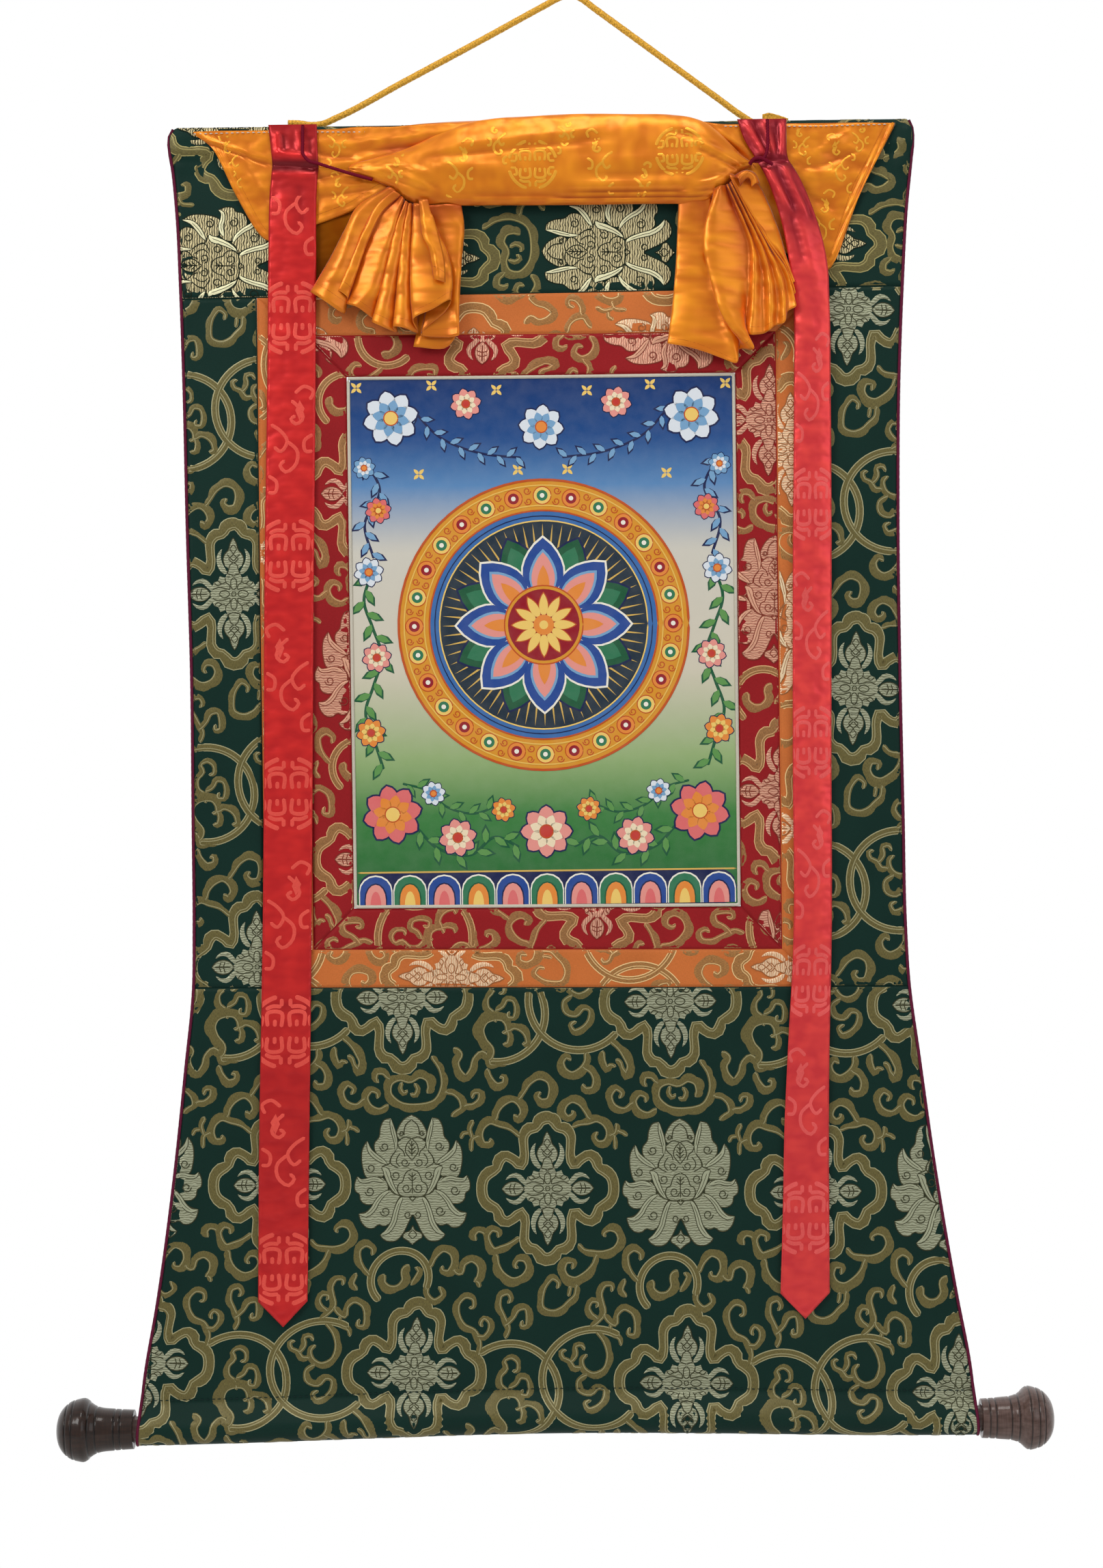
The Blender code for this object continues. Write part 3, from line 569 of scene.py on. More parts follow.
lotusLines = (
    ((0, -490), (46, -448), (62, -392), (62, -360)),
    ((118, -300), (105, -262), (72, -232), (56, -185)),
    ((134, -232), (165, -190), (182, -140), (150, -112), (110, -92)),
    ((95, -215), (125, -170), (128, -140), (100, -105)),
    ((0, -320), (0, -185)),
    ((0, -270), (22, -300)),
    ((0, -235), (30, -268)),
    ((0, -205), (34, -240)),
    ((0, -62), (0, 125)),
    ((0, -15), (30, -45)),
    ((0, 15), (34, -15)),
    ((0, 415), (32, 458), (0, 492)),
)
lotusCurls = (
    (226, -270, 40, 1), (340, -96, 40, 1), (350, 96, 42, 1), (226, 262, 44, 1), (40, 292, 34, -1),
    (56, -138, 38, -1), (138, -32, 42, 1), (48, 74, 42, -1), (84, -378, 22, 1),
)


def strokeShape(rows, level, kind, lobes=0, steps=22, rise=0.14):
    # a band along a curve: centre + half width * share * normal, with round ends; the outer side
    # of a cloud swells in lobes, half width * (1 + 0.3 * |sin|)
    rows = np.array(rows, float)
    along = alongPath(rows[:, :2])
    t = np.linspace(0, 1, steps)
    at = along[-1] * (0.45 * t + 0.275 * (1 - np.cos(np.pi * t)))
    x, y, w = (smooth(along, column, at) for column in rows.T)
    ends = np.minimum(at, along[-1] - at)
    w = w * np.sqrt(np.clip(1 - (1 - np.clip(ends / np.maximum(w, 1e-6), 0, 1)) ** 2, 0.0004, 1))
    dx, dy = np.gradient(x, at), np.gradient(y, at)
    size = np.hypot(dx, dy)
    nx, ny = -dy / size, dx / size
    turning = np.sign(np.sum(dx[:-1] * dy[1:] - dy[:-1] * dx[1:])) or 1.0
    swell = 0.92 + 0.5 * np.abs(np.sin(np.pi * lobes * t)) if lobes else np.ones(steps)
    share = np.array((-1.0, -0.55, 0.0, 0.55, 1.0))
    outer = np.where(share[None] * turning < 0, swell[:, None], 1.0)
    reach = share * w[:, None] * outer
    points = np.stack((x[:, None] + nx[:, None] * reach, y[:, None] + ny[:, None] * reach), -1)
    rim = w[:, None] * outer * (1 - np.abs(share))
    inner = w[:, None] * (1 - share * turning)
    height = level + rise * np.array((-0.6, 0.75, 1.0, 0.75, -0.6)) * np.ones((steps, 1))
    data = np.concatenate([points.reshape(-1, 2), rim.reshape(-1, 1) * unit, inner.reshape(-1, 1) * unit,
                           height.reshape(-1, 1)], axis=1)
    quads = gridFaces(steps, 5)
    tris = np.concatenate([quads[:, [0, 2, 1]], quads[:, [0, 3, 2]]])
    return data, tris, np.full(len(tris), kind)


farIn = 9.0  # stands for far from any rim


def fillShape(outline, level, kind, splits=2):
    # a filled outline, each triangle split into four again and again, so that it bends with the cloth
    points = np.array(outline, float)
    tris = np.array(tessellate_polygon([[(x, y, 0.0) for x, y in points]]))
    for _ in range(splits):
        edges = np.sort(np.concatenate([tris[:, [0, 1]], tris[:, [1, 2]], tris[:, [2, 0]]]), axis=1)
        unique, back = np.unique(edges, axis=0, return_inverse=True)
        middle = len(points) + back.reshape(3, -1)
        points = np.concatenate([points, points[unique].mean(axis=1)])
        a, b, c = tris.T
        ab, bc, ca = middle
        tris = np.concatenate([np.stack(s, -1) for s in ((a, ab, ca), (b, bc, ab), (c, ca, bc),
                                                         (ab, bc, ca))])
    p = points[tris]
    area = np.cross(p[:, 1] - p[:, 0], p[:, 2] - p[:, 0])
    real = np.abs(area) > 1e-6
    tris = np.where(area[real, None] > 0, tris[real][:, ::-1], tris[real])
    data = np.column_stack((points, np.ones((len(points), 3)) * (farIn, farIn, level)))
    return data, tris, np.full(len(tris), kind)


def joinShapes(shapes):
    total, datas, trisAll, kinds = 0, [], [], []
    for data, tris, kind in shapes:
        datas.append(data)
        trisAll.append(tris + total)
        kinds.append(kind)
        total += len(data)
    return np.concatenate(datas), np.concatenate(trisAll), np.concatenate(kinds)


def moved(shape, centre, scale, flipX=1, flipY=1):
    data, tris, kind = shape
    data = data.copy()
    data[:, :2] = data[:, :2] * (scale * flipX, scale * flipY) + centre
    return data, (tris if flipX * flipY > 0 else tris[:, ::-1]), kind


def spiral(x, y, radius, turn, turns=1.25):
    angle = np.linspace(0, 2 * np.pi * turns, 9)
    size = radius * (1 - 0.66 * angle / angle[-1])
    return [(x + s * math.cos(a) * turn, y + s * math.sin(a)) for a, s in zip(angle, size, strict=True)]


def withWidth(points, width):
    return [(x, y, width) for x, y in points]


def drawn(points, width, level, steps=None):
    # a dark outline thread
    return strokeShape(withWidth(points, width), level, 2, 0, steps or 4 + 2 * len(points), 0.03)


def makeScrolls():
    # long scrolls swell in lobes, and five levels in turn let one pass over another
    (x0, y0), (x1, y1), scale = lowerFrom, lowerTo, lowerScale
    lower = [[(x1 + scale * (x - x0), y1 + scale * (y - y0), scale * w) for x, y,
              w in rows] for rows in lowerScrolls]
    shapes = []
    for k, rows in enumerate([*scrolls, *lower]):
        rows = np.array(rows, float)
        length = pathLength(rows[:, :2])
        lobes = max(1, round(length / 62)) if length > 130 else 0
        rows = rows * (1.0, 1.0, scrollWidth)
        shapes.append(strokeShape(rows, 0.02 + 0.012 * (k % 5), 0, lobes, max(9, int(length / 10))))
    for x, y, radius, start, end, level in rings:
        angle = np.radians(np.linspace(start, end, 25))
        rows = np.stack((x + radius * np.cos(angle), y + radius * np.sin(angle), np.full(25, 17.0)), -1)
        shapes.append(strokeShape(rows, level, 0, 0, 48))
    return shapes


def makeCross(centre):
    # a frame all round, and fills, claws and threads charted for one quarter
    quarter = np.array(frameQuarter, float)
    right = np.concatenate([quarter[:-1], (quarter * (1, -1, 1))[::-1][:-1]])
    ring = np.concatenate([right, right * (-1, -1, 1)])
    ring = np.concatenate([ring, ring[:2]])
    parts = [fillShape(outline, 0.2, 1) for outline in crossFills]
    parts += [strokeShape(claw, 0.2, 1, 0, 12) for claw in crossClaws]
    parts += [drawn(points, 3.4, 0.3) for points in crossLines]
    shapes = [moved(strokeShape(ring * crossScale, 0.13, 0, 0, 120), centre, 1.0)]
    for flipX, flipY in ((1, 1), (-1, 1), (1, -1), (-1, -1)):
        shapes += [moved(part, centre, crossScale, flipX, flipY) for part in parts]
    return shapes


def makeLotus():
    layers = [(outline, 0.13 + 0.015 * k) for k, outline in enumerate(lotusPetals)]
    layers += [(lotusBody, 0.24)] + [(outline, 0.27) for outline in (lotusPod, lotusTip, *lotusDrops)]
    shapes = []
    for outline, level in layers:
        edge = outline if outline[0][0] == 0 else outline + outline[:1]
        shapes += [fillShape(outline, level, 1, 1), drawn(edge, 4.2, level + 0.04, 3 * len(edge))]
    for spine in lotusLeaves:
        wider = [(x, y, width + 5) for x, y, width in spine]
        vein = [(x, y) for x, y, width in spine[1:-1]]
        shapes += [strokeShape(wider, 0.29, 2, 0, 14, 0.02), strokeShape(spine, 0.33, 3, 0, 14, 0.10)]
        shapes.append(strokeShape(withWidth(vein, 2.4), 0.44, 2, 0, 8, 0.02))
    shapes += [drawn(points, 4.0, 0.36) for points in lotusLines]
    shapes += [drawn(spiral(*curl), 4.0, 0.36, 16) for curl in lotusCurls]
    return [moved(shape, lotusAt, lotusScale, flipX) for flipX in (1, -1) for shape in shapes]


def makeRepeat():
    crosses = [shape for centre in crossAt for shape in makeCross(centre)]
    return joinShapes(makeScrolls() + crosses + makeLotus())


repeat = makeRepeat()
print("repeat:", len(repeat[1]), "triangles")


def clip(data, tris, kinds, inside):
    # keeps what has inside > 0, cutting triangles along its zero line
    d = inside[tris]
    count = (d > 0).sum(axis=1)
    datas, kept, keptKinds, total = [data], [tris[count == 3]], [kinds[count == 3]], len(data)
    for n in (1, 2):
        pick = count == n
        t, e = tris[pick], d[pick]
        lone = ((e > 0) if n == 1 else (e <= 0)).argmax(axis=1)
        order = (lone[:, None] + np.arange(3)) % 3
        t, e = np.take_along_axis(t, order, 1), np.take_along_axis(e, order, 1)
        lonePoints = data[t[:, 0]]
        cuts = [lonePoints + (data[t[:, k]] - lonePoints) * (e[:, 0] / (e[:, 0] - e[:, k]))[:,
                                                                                            None] for k in (1, 2)]
        a = total + np.arange(len(t))
        b = a + len(t)
        total += 2 * len(t)
        datas += cuts
        if n == 1:
            kept.append(np.stack((t[:, 0], a, b), -1))
            keptKinds.append(kinds[pick])
        else:
            kept += [np.stack((a, t[:, 1], t[:, 2]), -1), np.stack((a, t[:, 2], b), -1)]
            keptKinds += [kinds[pick], kinds[pick]]
    return np.concatenate(datas), np.concatenate(kept), np.concatenate(keptKinds)


def tidyShape(data, tris, kinds):
    # only the points in use, with doubles merged
    used, tris = np.unique(tris, return_inverse=True)
    data, tris = data[used], tris.reshape(-1, 3)
    _, first, back = np.unique(np.round(data, 4), axis=0, return_index=True, return_inverse=True)
    tris = back.reshape(-1)[tris]
    good = (tris[:, 0] != tris[:, 1]) & (tris[:, 1] != tris[:, 2]) & (tris[:, 2] != tris[:, 0])
    return data[first], tris[good], kinds[good]


def clipped(block, tris, kinds, insides):
    alive = np.all([inside(block[:, 0], block[:, 1]) > 0 for inside in insides], axis=0)
    touched = alive[tris].any(axis=1)
    part, kind = tris[touched], kinds[touched]
    for inside in insides:
        if len(part):
            block, part, kind = clip(block, part, kind, inside(block[:, 0], block[:, 1]))
    return [tidyShape(block, part, kind)] if len(part) else []


def layOver(name, shapes, lay, paints, slotName):
    # columns of the shapes: across, length down the cloth, rim, inner, height, thread across, thread down
    data, tris, kinds = joinShapes(shapes)
    cloth = np.column_stack((data[:, 5:7], np.zeros(len(data))))
    layers = {"rim": data[:, 2], "inner": data[:, 3], "cloth": cloth}
    mesh = newMesh(name, lay(data[:, 0], data[:, 1], data[:, 4]), [tris], layers)
    print(name, len(tris))
    return addPiece(name, mesh, paints, slotName, slots=kinds)


def withPlace(shapes):
    data, tris, kinds = joinShapes(shapes)
    return np.column_stack((data, data[:, :2])), tris, kinds


def within(inside, margin=0.6):
    return lambda across, q: inside(across, q) - margin


def patternOn(name, pattern, insides, lay, paints, slotName, lean=None):
    # repeats the weave over a panel: point = anchor + turned and scaled (chart point + steps)
    anchor, chartAt, turned, angle, scale = pattern
    size = unit * scale
    c, s = math.cos(math.radians(angle)) * size, math.sin(math.radians(angle)) * size
    matrix = np.array(((c, -s), (s, c)))
    if turned:
        matrix = np.array(((0.0, 1.0), (-1.0, 0.0))) @ matrix
    data, tris, kinds = repeat
    shapes = []
    for i in range(-4, 5):
        for j in range(-4, 5):
            chart = data[:, :2] + stepRight * i + stepDown * j - chartAt
            flat = chart @ matrix.T + anchor
            if lean:
                flat = lean(*flat.T)
            block = np.column_stack((flat, data[:, 2:], chart * unit))
            shapes += clipped(block, tris, kinds, [within(inside) for inside in insides])
    return layOver(name, shapes, lay, paints, slotName)


print("stage: panels")
# drop, left edge, right edge of the whole cloth
sideTable = np.array((
    (0, -213, 216.8), (3, -215.6, 218.6), (7, -217, 219.8), (14, -216.8, 220), (25, -215.3, 219),
    (50, -213.2, 216.2), (95, -211.6, 213), (150, -210.4, 210.2), (230, -209.4, 208.7),
    (320, -207.9, 208.7),
    (410, -208.3, 209.4), (470, -208.5, 209.9), (505, -209.3, 211.6), (550, -214.2, 217.2),
    (620, -222.6, 226.3), (690, -233.2, 237.2), (730, -240.6, 244.3), (775, -245.6, 248.4),
))
front, inset = -0.8, 1.2
picture = np.array(((-113.1, 148.4), (112.4, 148.9), (-112.9, 457.8), (111.6, 459.3)))
redOutside = np.array(((-138.2, 122.8), (137.4, 124.0), (-138.0, 482.6), (136.5, 485.6)))
orangeOutside = np.array(((-166.0, 100.4), (163.3, 98.6), (-166.4, 504.5), (162.6, 507.9)))
seamHigh, seamLow = (99.5, -0.0054), (506.2, 0.0103)
sheetHalf = 0.3
clothEnd, sleeveStart, hemFold = 775, 500, 22.0


def leftEdge(drop):
    return columnAt(sideTable, 1, drop)


def rightEdge(drop):
    return columnAt(sideTable, 2, drop)


def outerLeft(across, drop):
    return across - leftEdge(np.clip(drop, 0, clothEnd)) - inset


def outerRight(across, drop):
    return rightEdge(np.clip(drop, 0, clothEnd)) - inset - across


def seam(line, across):
    return line[0] + line[1] * across


def pastSeam(line, way):
    # distance from a seam, positive below it for way 1 and above it for way -1
    return lambda across, drop: way * (drop - seam(line, across))


def dowelDrop(across):
    return 762.2 - 2.0 * (1 + np.cos(np.pi * np.clip(across, -250, 250) / 250.0))


def cockle(across, drop):
    # soft waves of the hanging cloth: 1.1 * sin across + 0.8 * sin down, none at the two rods
    free = ease((drop - 20) / 90) * ease((745 - drop) / 110)
    return free * (1.1 * np.sin(2 * np.pi * (across / 330 + 0.12) + drop / 210)
                   + 0.8 * np.sin(2 * np.pi * drop / 290 + across / 150))


def coveringDepth(across, drop):
    return front + cockle(across, drop) - 1.7 * (1 - ease((drop - 22) / 50))


def creases(across, drop, table):
    # each crease adds height * exp(-(distance / width) squared) along a line, fading at its two ends
    total = np.zeros(np.broadcast(across, drop).shape)
    for height, width, x0, y0, x1, y1 in table:
        length = math.hypot(x1 - x0, y1 - y0)
        ux, uy = (x1 - x0) / length, (y1 - y0) / length
        along = ((across - x0) * ux + (drop - y0) * uy) / length
        away = (across - x0) * uy - (drop - y0) * ux
        fade = ease((along + 0.15) / 0.3) * ease((1.15 - along) / 0.3)
        total = total + height * fade * np.exp(-(away / width) ** 2)
    return total


def lineInside(a, b):
    # signed distance from the line a to b, positive on its left as drop runs down
    (ax, ay), (bx, by) = a, b
    length = math.hypot(bx - ax, by - ay)
    return lambda across, drop: ((bx - ax) * (drop - ay) - (by - ay) * (across - ax)) / length


def quadInsides(corners):
    ul, ur, ll, lr = corners
    return [lineInside(ul, ur), lineInside(ur, lr), lineInside(lr, ll), lineInside(ll, ul)]


def rolled(insides, across, drop):
    # cloth turns back into the seam over its last millimetre and a half
    near = np.min([inside(across, drop) for inside in insides], axis=0)
    return 0.75 * (1 - ease(near / 1.7)) - 0.25 * np.exp(-((near - 2.6) / 1.4) ** 2)


def shares(count, length, reach=3.2):
    # even steps, and closer ones near the two ends where the cloth rolls
    near = np.array((0.0, 0.45, 0.9, 1.4, 2.0, 2.6)) / length
    inner = np.linspace(reach / length, 1 - reach / length, count)
    return np.concatenate([near, inner, 1 - near[::-1]])


greens = {
    "ground": (0.0048, 0.0268, 0.0200), "scroll": (0.155, 0.128, 0.035), "rim": (0.40, 0.37, 0.195),
    "motif": (0.42, 0.44, 0.30), "motifDark": (0.20, 0.21, 0.125), "line": (0.052, 0.053, 0.026),
}
golds = dict(greens, motif=(0.68, 0.58, 0.31), motifDark=(0.045, 0.037, 0.012), leaf=(0.93, 0.86, 0.55),
             line=(0.012, 0.018, 0.009), rim=(0.42, 0.36, 0.13))
oranges = {
    "ground": (0.62, 0.172, 0.042), "scroll": (0.42, 0.19, 0.05), "rim": (0.95, 0.66, 0.30),
    "motif": (0.98, 0.72, 0.46), "motifDark": (0.74, 0.38, 0.20), "line": (0.36, 0.14, 0.05),
}
reds = {
    "ground": (0.315, 0.0125, 0.016), "scroll": (0.36, 0.165, 0.052), "rim": (0.74, 0.43, 0.19),
    "motif": (0.80, 0.42, 0.28), "motifDark": (0.48, 0.17, 0.11), "line": (0.24, 0.05, 0.03),
}


def brocadePaints(name, c, slotName):
    # the ground, what is woven on it by kind, and the slot of both
    woven = [scrollPaint(name + "Scroll", c["scroll"], c["rim"]),
             motifPaint(name + "Motif", c["motif"], c["motifDark"]),
             clothPaint(name + "Line", c["line"], 0.6, 0.1),
             clothPaint(name + "Leaf", c.get("leaf", c["motif"]), 0.42, 0.3, 0.15)]
    return clothPaint(name + "Ground", c["ground"], 0.5, 0.0, 0.16), woven, slotName


greenPaints = brocadePaints("green", greens, "green_brocade")
goldPaints = brocadePaints("gold", golds, "green_brocade")
orangePaints = brocadePaints("orange", oranges, "orange_brocade")
redPaints = brocadePaints("red", reds, "red_brocade")


def brocade(node, across, down, insides, lay, paints, flat, cloth=None, lean=None):
    ground, woven, slotName = paints
    cloth = np.stack((across, down), -1) if cloth is None else cloth
    mesh = gridMesh(node, lay(across, down, 0.0), cloth)
    base = addPiece(node + "_cloth", mesh, [ground], slotName, [node], thick=2 * sheetHalf)
    weave = patternOn(node + "_weave", patterns[node], insides, lay, woven, slotName, lean)


def standOff(across, depth, drop, lift, nDepth=-1.0, nDrop=0.0):
    # what is woven stands off the middle of the cloth by half its thickness and its own lift
    out = lift + np.where(lift > 0, sheetHalf, 0.0)
    return place(across, depth + nDepth * out, drop + nDrop * out)


def flatLay(insides):
    def lay(across, q, lift):
        return standOff(across, front + cockle(across, q) + rolled(insides, across, q), q, lift)
    return lay


def quadPoints(corners, u, v):
    # each point is its share of the way across and down between four corners
    u, v = np.meshgrid(u, v)
    u, v = u[..., None], v[..., None]
    points = (corners[0] * (1 - u) + corners[1] * u) * (1 - v) + (corners[2] * (1 - u) + corners[3] * u) * v
    return points[..., 0], points[..., 1]


def makeStrip(node, corners, columns, rows, paints):
    ul, ur, ll, lr = corners = np.array(corners, float)
    wide, tall = np.linalg.norm(ur - ul), np.linalg.norm(ll - ul)
    insides = quadInsides(corners)
    across, drop = quadPoints(corners, shares(columns, wide), shares(rows, tall))
    flat = (max(wide, np.linalg.norm(lr - ll)) * mm, max(tall, np.linalg.norm(lr - ur)) * mm)
    brocade(node, across, drop, insides, flatLay(insides), paints, flat)


def stripCorners(inner, outer):
    # four mitred strips between two outlines
    return {"top": (outer[0], outer[1], inner[0], inner[1]),
            "bottom": (inner[2], inner[3], outer[2], outer[3]),
            "left": (outer[0], inner[0], outer[2], inner[2]),
            "right": (inner[1], outer[1], inner[3], outer[3])}


# anchor in millimetres, the chart point that lies there, turned a quarter, further turn in degrees, scale
crossA, crossB = np.array(crossAt[0]), np.array(crossAt[1])
lotusC = np.array(lotusAt)
patterns = {
    "bottom_panel": ((-2.5, 624.1), crossB, False, 0.0, 1.0),
    "left_panel": ((-181.5, 273.7), crossB, False, 0.0, 0.985),
    "right_panel": ((180.9, 333.6), crossB, False, 2.6, 1.0),
    "top_panel": ((39.7, 76.0), lotusC, True, 1.4, 1.02),
    "orange_strip_top": ((-40.2, 145.6), crossA, True, 2.0, 0.985),
    "orange_strip_bottom": ((-57.4, 499.7), crossB, True, 2.0, 0.93),
    "orange_strip_left": ((-152.0, 250.0), crossB, False, 0.0, 1.0),
    "orange_strip_right": ((150.0, 300.0), lotusC, False, 0.0, 1.0),
    "red_strip_top": ((-33.8, 114.0), crossA, True, 2.0, 1.0),
    "red_strip_bottom": ((29.0, 452.1), crossB, True, 2.0, 0.98),
    "red_strip_left": ((-98.8, 430.4), crossA, False, 1.4, 0.965),
    "red_strip_right": ((138.0, 393.5), crossA, False, 1.4, 0.98),
}

sectionLow = {"radius": 9.1, "pinch": 16.0, "flap": 22.0}
sleeveTurn = math.acos(sectionLow["radius"] / math.hypot(front, sectionLow["pinch"]))
battenReach = 1.5 + 0.4 + 0.6  # half the batten, the gap and half the cloth with its weave


def sectionTables(points):
    # length along a folded edge against its drop and depth, with the outward normal
    points = np.array(points, float)
    along = alongPath(points)
    fineAlong = np.linspace(0, along[-1], 160)
    drop, depth = (np.interp(fineAlong, along, column) for column in points.T)
    kernel = np.ones(5) / 5
    padded = [np.convolve(np.pad(c, 2, "edge"), kernel, "valid") for c in (drop, depth)]
    slopeDrop, slopeDepth = (np.gradient(c, fineAlong) for c in padded)
    size = np.hypot(slopeDrop, slopeDepth)
    return fineAlong, padded[0], padded[1], slopeDepth / size, -slopeDrop / size


def lowSection():
    s = sectionLow
    arc = np.linspace(sleeveTurn, 2 * math.pi - sleeveTurn, 40)
    points = [(-s["pinch"], front), (-s["pinch"] + 1.0, front)]
    points += [(-s["radius"] * math.cos(a), -s["radius"] * math.sin(a)) for a in arc]
    return sectionTables(points + [(-s["pinch"], -front), (-s["flap"], -front)])


def highSection():
    reach, centre = battenReach, battenReach + 0.6
    arc = np.radians(np.linspace(0, 180, 14))
    points = [(hemFold, front), (20.0, front), (14.5, -reach)]
    points += [(centre - reach * math.sin(a), -reach * math.cos(a)) for a in arc]
    return sectionTables(points + [(14.5, reach), (20.0, -front), (27.0, -front)])


lowTable, highTable = lowSection(), highSection()


def sleeveDrop(across, q):
    # how far down the point lies that is q down the cloth, which turns round the dowel
    centre = dowelDrop(across)
    s = q - centre + sectionLow["pinch"]
    return np.where(s < 0, q, centre + np.interp(s, lowTable[0], lowTable[1]))


def lowerLean(across, q):
    # the weave of the flaring part leans a little to the left and up, all of it from 100 mm further down
    share = ease((q - 640) / 100)
    return np.column_stack((across - share * (5.5 - 0.016 * across), q + share * 0.0245 * across))


def bottomLay(insides):
    def lay(across, q, lift):
        start = dowelDrop(across) - sectionLow["pinch"]
        above, s = q < start, np.clip(q - start, 0, lowTable[0][-1])
        bend = 0.5 * np.exp(-((q - start + 9) / 5) ** 2)
        plain = front + cockle(across, q) + rolled(insides, across, q) - bend
        depth, nDrop, nDepth = (np.interp(s, lowTable[0], column) for column in lowTable[2:])
        depth = np.where(above, plain, depth)
        nDrop, nDepth = np.where(above, 0.0, nDrop), np.where(above, -1.0, nDepth)
        return standOff(across, depth, sleeveDrop(across, q), lift, nDepth, nDrop)
    return lay


def topLay(insides):
    def lay(across, q, lift):
        above, s = q < hemFold, np.clip(hemFold - q, 0, highTable[0][-1])
        plain = front + cockle(across, q) + rolled(insides, across, q) + creases(across, q, topCreases)
        drop, depth, nDrop, nDepth = (np.interp(s, highTable[0], column) for column in highTable[1:])
        depth = np.where(above, depth + creases(across, np.maximum(q, 0), topCreases) * ease(q / 8), plain)
        nDepth = np.where(above & (s >= 2), -nDepth, -1.0)
        return standOff(across, depth, np.where(above, drop, q), lift, nDepth, np.where(above, -nDrop, 0.0))
    return lay


topCreases = (
    (-1.6, 3.4, -213, 3, -208, 26), (-2.2, 3.6, 216, 4, 214, 30), (0.8, 2, -206, 2, -196, 30),
    (0.9, 2.2, 208, 2, 204, 34),
)


def acrossAt(share, drop):
    left, right = leftEdge(drop) + inset, rightEdge(drop) - inset
    return left + (right - left) * share


def makeTopPanel():
    # q runs from the back flap (below zero) over the batten to the seam
    seamDrop, flapEnd = seamHigh[0], hemFold - highTable[0][-1]
    insides = [outerLeft, outerRight, pastSeam(seamHigh, -1)]
    whole = insides + [lambda across, q: q - flapEnd]
    steps = [np.linspace(flapEnd, hemFold, 46), np.linspace(24, 96.5, 30),
             [97.2, 98.0, 98.6, 99.1, seamDrop]]
    u, q = np.meshgrid(shares(84, 430), np.concatenate(steps))
    across = acrossAt(u, np.clip(q, 0, 99))
    q = np.where(q > hemFold,
                 hemFold + (q - hemFold) * (seam(seamHigh, across) - hemFold) / (seamDrop - hemFold), q)
    brocade("top_panel", across, q, whole, topLay(insides), goldPaints, (0.430, (seamDrop - flapEnd) * mm),
            cloth=np.stack((q, -across), -1))


def makeBottomPanel():
    # q runs from the seam down and round the dowel
    endQ = lowTable[0][-1]
    insides = [lambda across, q: outerLeft(across, sleeveDrop(across, q)),
               lambda across, q: outerRight(across, sleeveDrop(across, q)), pastSeam(seamLow, 1)]
    whole = insides + [lambda across, q: dowelDrop(across) - sectionLow["pinch"] + endQ - q]
    v = np.concatenate([shares(50, 240), 1 + np.linspace(0, 1, 60)[1:]])
    u, v = np.meshgrid(shares(72, 480), v)
    across = -245 + 493 * u
    for _ in range(2):
        start, pinch = seam(seamLow, across), dowelDrop(across) - sectionLow["pinch"]
        q = np.where(v <= 1, start + (pinch - start) * v, pinch + endQ * (v - 1))
        across = acrossAt(u, np.clip(sleeveDrop(across, q), sleeveStart, clothEnd))
    brocade("bottom_panel", across, q, whole, bottomLay(insides), greenPaints, (0.455, 0.300),
            lean=lowerLean)


def makeSidePanel(side, inner):
    ends = [pastSeam(seamHigh, 1), pastSeam(seamLow, -1)]
    u, v = np.meshgrid(shares(10, 44), shares(90, 407))
    drop = seamHigh[0] + 406.7 * v
    if side == "left":
        insides = [outerLeft, lambda across, q: inner - across, *ends]
        left, right = leftEdge(drop) + inset, inner
    else:
        insides = [lambda across, q: across - inner, outerRight, *ends]
        left, right = inner, rightEdge(drop) - inset
    across = left + (right - left) * u
    high, low = seam(seamHigh, across), seam(seamLow, across)
    brocade(side + "_panel", across, high + (low - high) * v, insides, flatLay(insides), greenPaints,
            (0.044, 0.407))


makeTopPanel()
makeBottomPanel()
makeSidePanel("left", -166.2)
makeSidePanel("right", 163.0)

print("stage: strips")


def makeStrips():
    around = picture + np.array(((-1, -1), (1, -1), (-1, 1), (1, 1))) * 1.0
    for prefix, inner, outer, paints in (("red", around, redOutside, redPaints),
                                         ("orange", redOutside, orangeOutside, orangePaints)):
        for side, corners in stripCorners(inner, outer).items():
            columns, rows = (70, 6) if side in ("top", "bottom") else (6, 80)
            makeStrip(f"{prefix}_strip_{side}", corners, columns, rows, paints)


makeStrips()

print("stage: picture")


def tone(r, g, b):
    return tuple((c / 255) ** 2.2 for c in (r, g, b))


